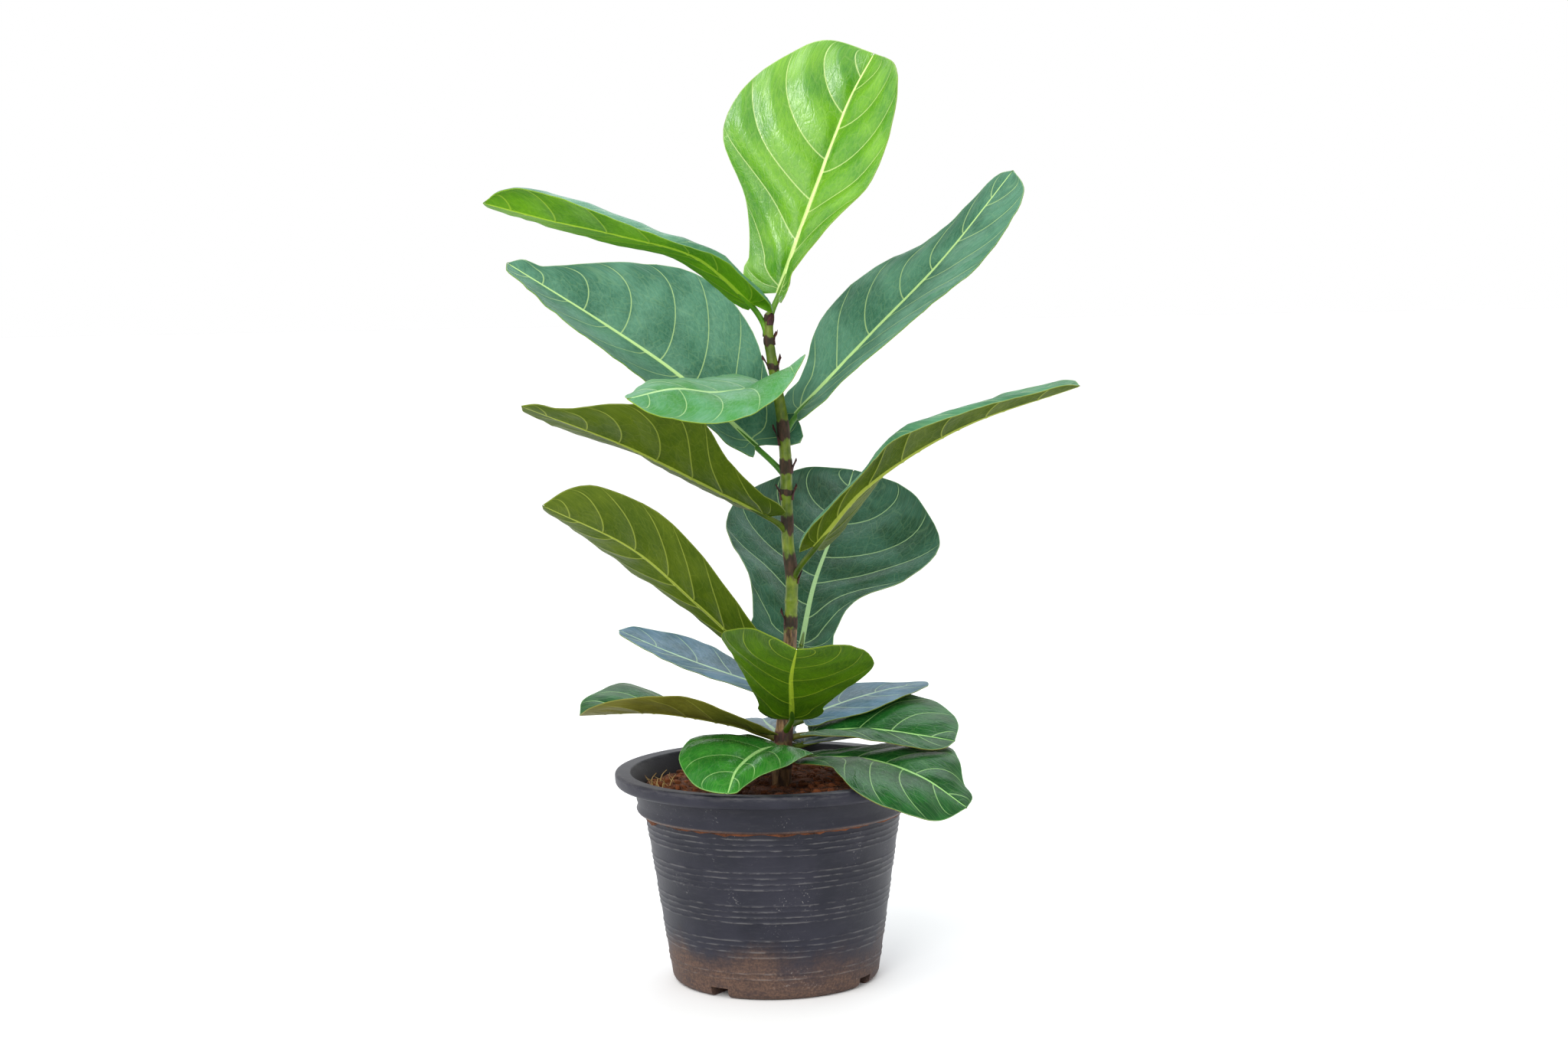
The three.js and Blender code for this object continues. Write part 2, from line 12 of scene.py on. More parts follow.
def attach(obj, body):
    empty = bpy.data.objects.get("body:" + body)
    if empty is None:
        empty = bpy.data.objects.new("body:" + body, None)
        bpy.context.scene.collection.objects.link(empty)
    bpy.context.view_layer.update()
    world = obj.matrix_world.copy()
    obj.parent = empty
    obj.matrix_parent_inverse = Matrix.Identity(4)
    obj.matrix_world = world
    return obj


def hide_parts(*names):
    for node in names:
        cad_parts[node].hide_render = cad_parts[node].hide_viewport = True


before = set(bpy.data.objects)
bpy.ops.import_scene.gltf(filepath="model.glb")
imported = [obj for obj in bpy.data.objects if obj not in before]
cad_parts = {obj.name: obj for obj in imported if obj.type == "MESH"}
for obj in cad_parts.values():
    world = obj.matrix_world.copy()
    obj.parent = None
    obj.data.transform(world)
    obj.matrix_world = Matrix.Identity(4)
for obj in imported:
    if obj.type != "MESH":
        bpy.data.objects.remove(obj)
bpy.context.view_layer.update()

MM = 0.001
BODY = "root"

# ---------------------------------------------------------------- the part's own dimensions, in mm

RIM_RADIUS = 152
RIM_TOP = 204
RIM_HEIGHT = 13
RIM_WIDTH = 15
COLLAR_RADIUS = 132.5
COLLAR_FOOT = 164
BODY_TOP_RADIUS = 123.5
BODY_FOOT_RADIUS = 100.5
FOOT_ROUND = 8
WALL = 2.6
DRAIN_ANGLES = [-122, -32, 58, 148]
DRAIN_WIDTH = 19
DRAIN_HEIGHT = 10
DRAIN_INNER_RADIUS = 68
SOIL_TOP = 184
CURL_SHAPE = 9.5

# The stem's middle line: height, x, radius.
STEM = [
    (150, 8, 8.5), (200, 9, 9.5), (240, 12, 8), (300, 18, 6.5), (350, 21, 6), (390, 23, 5.8),
    (420, 19, 5.6), (500, 19, 5.6), (545, 16, 5.5), (580, 10, 5.1), (620, 4, 4.6), (640, 6, 4.2),
]

# Bands of dead bud scale round the stem: height, half height, how dark from 0 to 1.
NODES = [
    (637, 4, 0.9), (615, 5, 1), (590, 4, 0.8), (530, 10, 1), (495, 8, 1), (470, 3, 1),
    (440, 10, 0.95), (400, 14, 0.85), (365, 2, 0.4), (345, 8, 0.8), (300, 5, 0.5), (262, 5, 0.6),
    (235, 8, 0.6), (210, 8, 0.8),
]

# Papery bud scales that stay on the stem: height, turn in degrees from +X, length.
STIPULES = [
    (636, 285, 12), (625, 130, 12), (618, 15, 14), (595, 170, 12), (595, 10, 13), (525, 185, 20),
    (495, 0, 14), (470, 172, 15), (470, 5, 15), (390, 10, 16), (350, 180, 15), (255, 345, 14),
]

# Lumps of coconut husk lying on the soil: x, y, size.
HUSK_CHIPS = [(-104, -52, 15), (-84, -78, 10), (-113, -20, 9), (60, -108, 8), (20, -118, 7)]

# Stations round a blade's margin: share of the midrib, share of the half width given there.
MARGIN_STATIONS = [
    (-0.03, 0.62), (0.03, 1), (0.1, 1), (0.3, 1), (0.5, 1), (0.7, 1), (0.9, 1), (0.97, 0.64),
]
WIDTH_PLACES = (0.1, 0.3, 0.5, 0.7, 0.9)
FRAME_STEP = 0.03

# The leaves, as in the part: joins is the height where the petiole leaves the stem and rib the
# midrib from base to tip. The rest is for the left half and then the right one: half is the
# width at WIDTH_PLACES, lift the degrees above level at even steps, cup and curl its bulge, ear
# how much further its lobe reaches back. look names the leaf's colours. In one kind, the upper
# side's colours carry a painted bluish sky reflection.
LEAVES = [
    {
        "name": "leaf_01", "look": "fresh", "joins": 635,
        "rib": [(15, 0, 660), (45, -5, 740), (85, 5, 840), (110, 10, 885)],
        "half": ((40, 60, 100, 95, 60), (32, 58, 72, 76, 74)),
        "lift": ((90, 80, 78), (-22, -26, -14)), "cup": (3, -3),
    },
    {
        "name": "leaf_02", "look": "lime", "joins": 620,
        "rib": [(-10, -5, 650), (-60, -60, 695), (-125, -110, 715), (-190, -135, 730),
                (-245, -165, 745)],
        "half": ((34, 42, 52, 58, 40), (22, 30, 46, 42, 16)),
        "lift": ((-12, -3, 32), (0, -3, -8)), "cup": (3, -1), "curl": (6, 0),
    },
    {
        "name": "leaf_03", "look": "blue", "joins": 485,
        "rib": [(-10, 10, 515), (-80, 35, 580), (-150, 55, 630), (-250, 70, 695)],
        "half": ((45, 76, 88, 70, 28), (55, 88, 100, 72, 20)),
        "lift": ((-5, -2, -14), (60, 55, 50)), "cup": (-4, 3), "ear": (2, 20),
    },
    {
        "name": "leaf_04", "look": "blue", "joins": 520,
        "rib": [(30, 10, 545), (105, 40, 620), (175, 55, 690), (245, 60, 775)],
        "half": ((26, 60, 64, 34, 22), (38, 58, 62, 62, 46)),
        "lift": ((35, 35, 30), (3, 0, -20, -35)), "cup": (3, 1),
    },
    {
        "name": "leaf_05", "look": "pale", "joins": 560,
        "rib": [(5, -10, 572), (-45, -85, 570), (-80, -130, 576), (-120, -190, 570)],
        "half": ((55, 58, 60, 52, 32), (38, 35, 36, 26, 12)),
        "lift": ((38, -5, -36, -38), (20, 20, 10)), "cup": (-2, 3),
    },
    {
        "name": "leaf_06", "look": "olive", "joins": 430,
        "rib": [(0, -15, 450), (-85, -80, 500), (-135, -115, 528), (-215, -175, 565)],
        "half": ((26, 42, 68, 58, 16), (35, 45, 46, 34, 14)),
        "lift": ((20, 38, 25), (5, 8, -18)), "cup": (-4, 0),
    },
    {
        "name": "leaf_07", "look": "olive", "joins": 385,
        "rib": [(45, -25, 420), (95, -65, 480), (180, -105, 535), (285, -140, 572)],
        "half": ((30, 42, 50, 48, 32), (24, 26, 56, 40, 26)),
        "lift": ((5, 18, 22), (8, 12, 12)), "cup": (0, 3), "curl": (0, 8),
    },
    {
        "name": "leaf_08", "look": "dusk", "joins": 280,
        "rib": [(30, 35, 315), (45, 100, 370), (70, 170, 425), (90, 230, 475)],
        "half": ((52, 66, 104, 104, 66), (30, 44, 88, 108, 76)),
        "lift": ((20, 20, 15), (-14, -20, -14)), "cup": (-5, -5),
    },
    {
        "name": "leaf_09", "look": "olive", "joins": 290,
        "rib": [(-10, -22, 312), (-70, -60, 375), (-125, -105, 430), (-200, -160, 475)],
        "half": ((30, 40, 46, 52, 44), (20, 24, 36, 36, 14)),
        "lift": ((20, 30, 48), (-10, -10, -15)), "cup": (-4, -4),
    },
    {
        "name": "leaf_10", "look": "moss", "joins": 236,
        "rib": [(20, -30, 256), (20, -80, 285), (20, -125, 310), (25, -230, 350)],
        "half": ((30, 52, 74, 70, 50), (32, 42, 56, 70, 50)),
        "lift": ((5, 5, 8), (12, 22, 32)), "cup": (-5, -5),
    },
    {
        "name": "leaf_11", "look": "green_with_painted_sky_sheen", "joins": 270,
        "rib": [(0, 8, 280), (-55, 35, 296), (-105, 60, 312), (-150, 80, 330)],
        "half": ((20, 22, 22, 18, 12), (22, 32, 44, 42, 24)),
        "lift": ((-8, -8, -5), (8, 10, 14)), "cup": (1, -2),
    },
    {
        "name": "leaf_12", "look": "deep", "joins": 225,
        "rib": [(-8, 0, 238), (-45, -20, 252), (-110, -40, 266), (-180, -60, 268)],
        "half": ((30, 48, 55, 52, 36), (14, 22, 48, 66, 34)),
        "lift": ((5, 24, 26), (-10, 10, 28)), "cup": (-3, 5),
    },
    {
        "name": "leaf_13", "look": "green_with_painted_sky_sheen", "joins": 240,
        "rib": [(30, 15, 248), (60, 30, 258), (110, 45, 270), (155, 60, 275)],
        "half": ((36, 50, 50, 32, 12), (25, 36, 38, 30, 18)),
        "lift": ((8, 5, 3), (-10, -10, -5)), "cup": (-2, 1),
    },
    {
        "name": "leaf_14", "look": "deep", "joins": 228,
        "rib": [(36, 5, 236), (90, -10, 241), (140, -25, 237), (175, -35, 232)],
        "half": ((30, 50, 72, 72, 50), (28, 34, 36, 36, 30)),
        "lift": ((15, 20, 18), (5, -5, -12)), "cup": (3, 2),
    },
    {
        "name": "leaf_15", "look": "green_with_painted_sky_sheen", "joins": 228,
        "rib": [(8, 20, 230), (0, 70, 230), (-5, 125, 225), (-10, 180, 222)],
        "half": ((18, 26, 30, 26, 16), (18, 26, 30, 26, 16)),
        "lift": ((10, 10, 10), (10, 10, 10)), "cup": (2, 2),
    },
    {
        "name": "leaf_16", "look": "green_with_painted_sky_sheen", "joins": 216,
        "rib": [(30, 16, 224), (75, 45, 226), (130, 100, 222)],
        "half": ((20, 36, 42, 36, 20), (14, 24, 28, 24, 15)),
        "lift": ((5, 5, 5), (5, 5, 5)), "cup": (2, 2),
    },
    {
        "name": "leaf_17", "look": "bright", "joins": 220,
        "rib": [(10, -15, 226), (-10, -50, 229), (-32, -110, 222), (-40, -152, 208)],
        "half": ((38, 40, 36, 24, 12), (40, 58, 62, 56, 36)),
        "lift": ((-5, -10, -10), (15, 12, 2)), "cup": (4, 4),
    },
    {
        "name": "leaf_18", "look": "deep", "joins": 210,
        "rib": [(35, -12, 215), (90, -40, 217), (140, -95, 209), (180, -118, 184)],
        "half": ((26, 55, 70, 56, 30), (35, 52, 66, 74, 52)),
        "lift": ((8, 8, 10), (0, 1, -20)), "cup": (3, 4),
    },
]

# Colours of each kind of leaf, as seen: upper side light and dark, its veins, under side light
# and dark, its veins. Then the upper side's roughness, how far its margin ripples
# and how far it swells between its veins, in mm.
LOOKS = {
    "fresh": ((112, 172, 22), (56, 130, 0), (206, 224, 146), (104, 150, 30), (80, 126, 16),
              (160, 190, 80), 0.26, 1.0, 6.0),
    "lime": ((96, 150, 120), (66, 118, 90), (170, 205, 140), (96, 150, 8), (62, 116, 2),
             (138, 172, 44), 0.36, 1.2, 2.2),
    "blue": ((88, 138, 112), (48, 98, 74), (172, 204, 134), (70, 128, 24), (52, 104, 14),
             (130, 160, 60), 0.38, 1.4, 2.4),
    "pale": ((100, 158, 118), (62, 138, 46), (178, 214, 150), (112, 150, 24), (88, 126, 10),
             (150, 176, 62), 0.34, 1.2, 2.2),
    "olive": ((78, 134, 96), (50, 102, 68), (168, 198, 130), (80, 98, 8), (56, 78, 0),
              (142, 154, 60), 0.38, 1.4, 2.2),
    "moss": ((90, 140, 90), (60, 112, 62), (170, 200, 130), (70, 106, 0), (48, 80, 0),
             (140, 160, 40), 0.38, 1.0, 2),
    "dusk": ((50, 92, 72), (22, 60, 34), (150, 184, 128), (88, 116, 34), (64, 92, 18),
             (130, 150, 60), 0.34, 1.2, 2.8),
    # Painted reflection: this kind's blue-grey upper side is green leaf colour with a bluish sky
    # reflection painted into it. Its veins and under side are the leaf's own colours.
    "green_with_painted_sky_sheen": ((84, 116, 138), (46, 82, 94), (156, 186, 150), (96, 116, 40), (70, 92, 24),
              (140, 150, 70), 0.36, 1.0, 2),
    "deep": ((26, 90, 32), (8, 60, 18), (146, 192, 116), (106, 104, 34), (82, 82, 20),
             (140, 140, 60), 0.28, 1.0, 2.4),
    "bright": ((60, 138, 46), (28, 102, 32), (168, 214, 134), (92, 130, 30), (70, 104, 18),
               (140, 160, 70), 0.22, 1.0, 2.6),
}

# How strongly the waxy upper sides mirror their surroundings, where that is not 0.2.
SHEEN = {"fresh": 1.0, "bright": 0.5, "moss": 0.1, "green_with_painted_sky_sheen": 0.25}

# ---------------------------------------------------------------- curves and meshes


def unit(vectors):
    """Vectors made one long, with a null vector left as it is."""
    lengths = np.linalg.norm(vectors, axis=-1, keepdims=True)
    return vectors / np.maximum(lengths, 1e-9)


def smooth_curve(points):
    """A function that reads a smooth curve through points at any share of its length."""
    points = np.asarray(points, float)
    reach = np.concatenate([[0], np.cumsum(np.linalg.norm(np.diff(points, axis=0), axis=1))])
    knots = reach / reach[-1]
    last = len(points) - 1
    before = np.maximum(np.arange(last + 1) - 1, 0)
    after = np.minimum(np.arange(last + 1) + 1, last)
    slopes = (points[after] - points[before]) / (knots[after] - knots[before])[:, None]

    def read(share):
        share = np.asarray(share, float)
        i = np.clip(np.searchsorted(knots, share, side="right") - 1, 0, last - 1)
        span = knots[i + 1] - knots[i]
        k = ((share - knots[i]) / span)[..., None]
        span = span[..., None]
        return (
            (2 * k**3 - 3 * k**2 + 1) * points[i]
            + (k**3 - 2 * k**2 + k) * span * slopes[i]
            + (3 * k**2 - 2 * k**3) * points[i + 1]
            + (k**3 - k**2) * span * slopes[i + 1]
        )

    return read


def bump(distance, width):
    """A round bump of height 1 and about the given half width."""
    return np.exp(-((distance / width) ** 2))


def noise_at(points, scale, seed=0.0):
    """Smooth noise from -1 to 1 at points in mm; scale is the size of its features in mm."""
    flat = np.asarray(points, float).reshape(-1, 3) / scale + seed
    values = [noise.noise(Vector(p)) for p in flat]
    return np.array(values).reshape(np.shape(points)[:-1])


def stem_at(height):
    """The stem's middle line (x) and radius at a height, in mm."""
    heights, middles, radii = zip(*STEM)
    return np.interp(height, heights, middles), np.interp(height, heights, radii)


def new_piece(name, points, faces, materials, nodes=(), face_materials=None, layers=None):
    """A smooth mesh from points in mm, riding on the part's body."""
    mesh = bpy.data.meshes.new(name)
    mesh.from_pydata([tuple(p) for p in np.asarray(points) * MM], [], faces)
    for material in materials:
        mesh.materials.append(material)
    mesh.polygons.foreach_set("use_smooth", [True] * len(mesh.polygons))
    if face_materials is not None:
        mesh.polygons.foreach_set("material_index", face_materials)
    for key, values in (layers or {}).items():
        layer = mesh.attributes.new(key, "FLOAT_VECTOR", "POINT")
        layer.data.foreach_set("vector", np.asarray(values, np.float32).reshape(-1))
    piece = bpy.data.objects.new(name, mesh)
    bpy.context.scene.collection.objects.link(piece)
    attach(piece, BODY)
    if nodes:
        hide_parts(*nodes)
    return piece


def grid_faces(rows, columns, start=0, closed=False):
    """Quads over a grid of points; closed joins the last column to the first."""
    across = columns if closed else columns - 1
    faces = []
    for i in range(rows - 1):
        for j in range(across):
            a = start + i * columns + j
            b = start + i * columns + (j + 1) % columns
            faces.append((a, b, b + columns, a + columns))
    return faces


def shell_faces(rows, columns):
    """Faces of a thin closed shell over two equal grids, upper first: the upper side, then the
    lower one and the wall round both."""
    size = rows * columns
    lower = [(d, c, b, a) for a, b, c, d in grid_faces(rows, columns, size)]
    border = [i * columns for i in range(rows)]
    border += [(rows - 1) * columns + j for j in range(1, columns)]
    border += [i * columns + columns - 1 for i in range(rows - 2, -1, -1)]
    border += list(range(columns - 2, 0, -1))
    wall = [(b, a, a + size, b + size) for a, b in zip(border, border[1:] + border[:1])]
    return grid_faces(rows, columns), lower + wall


def tube_rings(path, radii, sides, flatness=1.0):
    """Rings of points round a path, each turned as little as may be from the last."""
    path = np.asarray(path, float)
    along = unit(np.gradient(path, axis=0))
    side = unit(np.cross(along[0], [0.3, 0.2, 0.9]))
    rings = []
    for point, direction, radius in zip(path, along, radii):
        side = unit(side - direction * np.dot(side, direction))
        up = np.cross(direction, side)
        turns = np.linspace(0, 2 * np.pi, sides, endpoint=False)[:, None]
        ring = side * np.cos(turns) + up * np.sin(turns) * flatness
        rings.append(point + radius * ring)
    return np.array(rings)


# ---------------------------------------------------------------- materials


def colour(red, green, blue):
    """A colour given as it looks on a screen, 0 to 255, made linear."""
    def linear(value):
        share = value / 255
        return share / 12.92 if share <= 0.04045 else ((share + 0.055) / 1.055) ** 2.4

    return (linear(red), linear(green), linear(blue), 1.0)


class Paint:
    """One procedural material and the nodes it is made of."""

    def __init__(self, name, **constants):
        self.material = bpy.data.materials.new(name)
        self.material.use_nodes = True
        self.tree = self.material.node_tree
        self.shader = self.tree.nodes["Principled BSDF"]
        for socket, value in constants.items():
            self.shader.inputs[socket.replace("_", " ")].default_value = value

    def node(self, kind, inputs=None, **settings):
        made = self.tree.nodes.new(kind)
        for key, value in settings.items():
            setattr(made, key, value)
        for key, value in (inputs or {}).items():
            self.feed(made.inputs[key], value)
        return made

    def feed(self, socket, value):
        if isinstance(value, bpy.types.NodeSocket):
            self.tree.links.new(value, socket)
        else:
            socket.default_value = value

    def place(self):
        """Position in the part's frame, in metres."""
        return self.node("ShaderNodeTexCoord").outputs["Object"]

    def layer(self, name):
        """The three numbers of a mesh layer."""
        vector = self.node("ShaderNodeAttribute", attribute_name=name).outputs["Vector"]
        parts = self.node("ShaderNodeSeparateXYZ", {0: vector}).outputs
        return vector, parts[0], parts[1], parts[2]

    def stretch(self, vector, x, y, z):
        return self.node("ShaderNodeMapping", {"Vector": vector, "Scale": (x, y, z)}).outputs[0]

    def noise(self, vector, scale, detail=3.0, roughness=0.55):
        inputs = {"Vector": vector, "Scale": scale, "Detail": detail, "Roughness": roughness}
        return self.node("ShaderNodeTexNoise", inputs).outputs[0]

    def cells(self, vector, scale):
        """Distance to the edge of the nearest cell."""
        inputs = {"Vector": vector, "Scale": scale}
        return self.node("ShaderNodeTexVoronoi", inputs, feature="DISTANCE_TO_EDGE").outputs[0]

    def maths(self, operation, a, b=0.0):
        return self.node("ShaderNodeMath", {0: a, 1: b}, operation=operation).outputs[0]

    def ramp(self, value, low, high, bottom=0.0, top=1.0):
        """A smooth step from bottom to top as value goes from low to high."""
        inputs = {"Value": value, "From Min": low, "From Max": high,
                  "To Min": bottom, "To Max": top}
        made = self.node("ShaderNodeMapRange", inputs, interpolation_type="SMOOTHSTEP")
        return made.outputs[0]

    def mix(self, share, first, second):
        """first where share is 0, second where it is 1."""
        made = self.node("ShaderNodeMix", data_type="RGBA")
        for index, value in ((0, share), (6, first), (7, second)):
            self.feed(made.inputs[index], value)
        return made.outputs[2]

    def relief(self, height, distance, strength=1.0, under=None):
        """Bump of the given height in metres."""
        inputs = {"Height": height, "Distance": distance, "Strength": strength}
        if under is not None:
            inputs["Normal"] = under
        return self.node("ShaderNodeBump", inputs).outputs[0]

    def done(self, base, rough=None, normal=None):
        self.feed(self.shader.inputs["Base Color"], base)
        if rough is not None:
            self.feed(self.shader.inputs["Roughness"], rough)
        if normal is not None:
            self.feed(self.shader.inputs["Normal"], normal)
        return self.material


def blade_material(name, light, dark, vein, rough, seed, upper, sheen=0.2):
    """A blade's skin. The layer lines holds distances: midrib and vein in half widths of the
    vein, margin in mm. The layer flat holds the place on the flattened blade."""
    paint = Paint(name, IOR=1.45, Specular_IOR_Level=sheen)
    place = paint.place()
    _, rib, side_vein, margin = paint.layer("lines")
    flat = paint.layer("flat")[0]
    broad = paint.noise(place, 17.0 + seed, 2.0)
    mottle = paint.noise(flat, 2.6, 4.0, 0.6)
    tone = paint.maths("ADD", paint.ramp(broad, 0.36, 0.64, 0.0, 0.6), paint.ramp(
        mottle, 0.3, 0.72, 0.0, 0.4))
    skin = paint.mix(tone, colour(*light), colour(*dark))
    # Close to a vein the blade is a little darker, and the vein itself is pale.
    near = paint.ramp(side_vein, 2.0, 10.0, 0.16, 0.0)
    skin = paint.mix(near, skin, colour(*[0.8 * c for c in dark]))
    net = paint.cells(paint.stretch(flat, 1.0, 1.7, 1.0), 0.72)
    net_lines = paint.ramp(net, 0.0, 0.05, 0.09 if upper else 0.11, 0.0)
    fine = paint.cells(flat, 3.0)
    fine_lines = paint.ramp(fine, 0.0, 0.10, 0.05, 0.0)
    skin = paint.mix(paint.maths("MAXIMUM", net_lines, fine_lines), skin, colour(*vein))
    fade = paint.ramp(margin, 1.0, 9.0, 0.35, 1.0)
    line = paint.maths("MULTIPLY", paint.ramp(side_vein, 0.45, 1.1, 0.66, 0.0), fade)
    skin = paint.mix(line, skin, colour(*vein))
    rib_colour = colour(*[min(255, 1.06 * c) for c in vein])
    skin = paint.mix(paint.ramp(rib, 0.85, 1.15, 0.94, 0.0), skin, rib_colour)
    skin = paint.mix(paint.ramp(margin, 0.2, 0.9, 0.5, 0.0), skin, colour(*vein))
    speck = paint.noise(place, 1400.0, 2.0)
    gloss = paint.maths("ADD", paint.ramp(mottle, 0.2, 0.8, rough - 0.05, rough + 0.09),
                        paint.ramp(speck, 0.3, 0.7, 0.0, 0.05))
    grooves = paint.maths("ADD", paint.ramp(net, 0.0, 0.12), paint.ramp(fine, 0.0, 0.2, 0.0, 0.5))
    normal = paint.relief(grooves, 0.0004 if upper else -0.0003, 0.3)
    normal = paint.relief(speck, 0.00008, 0.2, normal)
    return paint.done(skin, gloss, normal)


def petiole_material(name, light, dark):
    paint = Paint(name, IOR=1.45)
    place = paint.place()
    streak = paint.noise(place, 60.0, 4.0)
    fleck = paint.ramp(paint.noise(place, 700.0, 2.0), 0.66, 0.74, 0.0, 0.35)
    skin = paint.mix(paint.ramp(streak, 0.35, 0.65), colour(*light), colour(*dark))
    skin = paint.mix(fleck, skin, colour(150, 160, 90))
    normal = paint.relief(streak, 0.0006, 0.4)
    return paint.done(skin, paint.ramp(streak, 0.2, 0.8, 0.36, 0.52), normal)


def bark_material():
    """Green-yellow young stem, browning and furrowed towards the foot, with dark nodes."""
    paint = Paint("stem_bark", IOR=1.45)
    place = paint.place()
    _, dark_band, woody, _ = paint.layer("marks")
    long_noise = paint.noise(paint.stretch(place, 1.0, 1.0, 0.22), 230.0, 5.0, 0.62)
    patch = paint.noise(place, 75.0, 3.0)
    green = paint.mix(paint.ramp(patch, 0.35, 0.65), colour(112, 130, 28), colour(74, 96, 14))
    green = paint.mix(paint.ramp(long_noise, 0.55, 0.78, 0.0, 0.55), green, colour(158, 152, 66))
    wood = paint.mix(paint.ramp(long_noise, 0.36, 0.66), colour(62, 40, 26), colour(150, 116, 78))
    wood = paint.mix(paint.ramp(patch, 0.55, 0.7, 0.0, 0.5), wood, colour(88, 84, 34))
    ragged = paint.maths("ADD", woody, paint.ramp(patch, 0.2, 0.8, -0.3, 0.3))
    skin = paint.mix(paint.ramp(ragged, 0.35, 0.65), green, wood)
    dirty = paint.maths("ADD", dark_band, paint.ramp(long_noise, 0.2, 0.8, -0.28, 0.28))
    husk = paint.mix(paint.ramp(long_noise, 0.4, 0.7), colour(36, 16, 22), colour(78, 44, 42))
    skin = paint.mix(paint.ramp(dirty, 0.32, 0.6, 0.0, 0.93), skin, husk)
    normal = paint.relief(long_noise, 0.0014, 0.6)
    return paint.done(skin, paint.ramp(dirty, 0.2, 0.7, 0.42, 0.78), normal)


def stipule_material():
    paint = Paint("stipule_paper", IOR=1.4)
    place = paint.place()
    grain = paint.noise(paint.stretch(place, 1.0, 1.0, 0.2), 700.0, 4.0)
    patch = paint.noise(place, 180.0, 3.0)
    skin = paint.mix(paint.ramp(grain, 0.35, 0.7), colour(48, 22, 28), colour(96, 54, 52))
    skin = paint.mix(paint.ramp(patch, 0.56, 0.72, 0.0, 0.7), skin, colour(126, 92, 66))
    return paint.done(skin, paint.ramp(grain, 0.3, 0.7, 0.55, 0.85), paint.relief(grain, 0.0005))


def pot_material():
    """Recycled black plastic: bluish, scuffed along its ribs, with dried mud low down."""
    paint = Paint("pot_plastic", IOR=1.47, Specular_IOR_Level=0.3)
    place = paint.place()
    height = paint.node("ShaderNodeSeparateXYZ", {0: place}).outputs[2]
    _, crest, inside, _ = paint.layer("marks")
    broad = paint.noise(place, 14.0, 4.0, 0.6)
    grit = paint.noise(place, 420.0, 4.0, 0.65)
    smear = paint.noise(paint.stretch(place, 1.0, 1.0, 5.0), 60.0, 5.0, 0.66)
    skin = paint.mix(paint.ramp(broad, 0.35, 0.68), colour(24, 25, 36), colour(38, 38, 49))
    skin = paint.mix(paint.ramp(smear, 0.5, 0.75, 0.0, 0.3), skin, colour(56, 55, 61))
    # Mud: a stain over the foot, and a line of it caught under the collar.
    ragged = paint.maths("ADD", height, paint.ramp(broad, 0.2, 0.8, -0.022, 0.022))
    mud = paint.mix(paint.ramp(grit, 0.35, 0.65), colour(84, 64, 54), colour(116, 88, 70))
    low = paint.maths("MULTIPLY", paint.ramp(ragged, 0.014, 0.062, 0.72, 0.0),
                      paint.ramp(smear, 0.25, 0.6, 0.45, 1.0))
    ring = paint.maths("MULTIPLY", paint.ramp(paint.maths("ABSOLUTE", paint.maths(
        "SUBTRACT", height, 0.1655)), 0.0006, 0.0022, 0.6, 0.0), paint.ramp(
        broad, 0.3, 0.55, 0.35, 1.0))
    skin = paint.mix(paint.maths("MAXIMUM", low, ring), skin, mud)
    # Scuffs: broken pale dashes on the ribs, and specks of dried water between them.
    broken = paint.ramp(smear, 0.44, 0.6)
    dashes = paint.maths("MULTIPLY", paint.maths("MULTIPLY", crest, broken), 0.28)
    chalk = paint.maths("MULTIPLY", paint.ramp(grit, 0.60, 0.70), paint.ramp(
        paint.noise(place, 30.0, 3.0), 0.52, 0.68, 0.0, 0.5))
    skin = paint.mix(paint.maths("MAXIMUM", dashes, chalk), skin, colour(150, 148, 146))
    skin = paint.mix(paint.maths("MULTIPLY", inside, 0.7), skin, colour(34, 30, 30))
    rough = paint.maths("ADD", paint.ramp(broad, 0.3, 0.7, 0.40, 0.5), paint.maths(
        "MULTIPLY", low, 0.3))
    normal = paint.relief(smear, 0.0006, 0.3)
    normal = paint.relief(grit, 0.0003, 0.45, normal)
    return paint.done(skin, rough, normal)


def coir_material(name, light, dark, pale):
    paint = Paint(name, IOR=1.4)
    place = paint.place()
    clump = paint.noise(place, 60.0, 4.0, 0.65)
    fibre = paint.noise(paint.stretch(place, 1.0, 0.25, 1.0), 900.0, 4.0, 0.7)
    skin = paint.mix(paint.ramp(clump, 0.36, 0.66), colour(*light), colour(*dark))
    skin = paint.mix(paint.ramp(fibre, 0.55, 0.75, 0.0, 0.7), skin, colour(*pale))
    normal = paint.relief(fibre, 0.0012, 0.8)
    return paint.done(skin, paint.ramp(clump, 0.2, 0.8, 0.8, 0.97), normal)


# ---------------------------------------------------------------- leaves

PETIOLE_SIDES = 16
CURL_STEP = 0.5 / 14  # how far apart the midrib is read to find its direction
HALF_THICKNESS = 0.45
FAN_ROWS = [-0.985, -0.93, -0.86, -0.78, -0.7, -0.62, -0.54, -0.46, -0.38, -0.3, -0.22, -0.14,
            -0.07]
VEIN_OFFSETS = (-0.011, -0.0035, 0, 0.0035, 0.011)  # rows laid across each side vein
FIRST_OFFSETS = (-0.03, -0.01, 0, 0.01, 0.03)  # and across the first one
LAST_ROW = 0.993
ROW_STEP = 0.035
CLOSEST_ROWS = 0.009
BASE_REACH = 0.012  # share of the midrib taken by the fan of veins at its base
FAN_REACH = 0.31  # share of the margin that the fan covers
TIP_CROWDING = 1.5
ARCH = 1.42  # how the side veins bend towards the tip
COLUMNS = [0, 0.012, 0.026, 0.044, 0.07, 0.105, 0.15, 0.205, 0.27, 0.34, 0.41, 0.48, 0.55,
           0.62, 0.69, 0.755, 0.815, 0.87, 0.915, 0.95, 0.975, 0.99, 1.0]


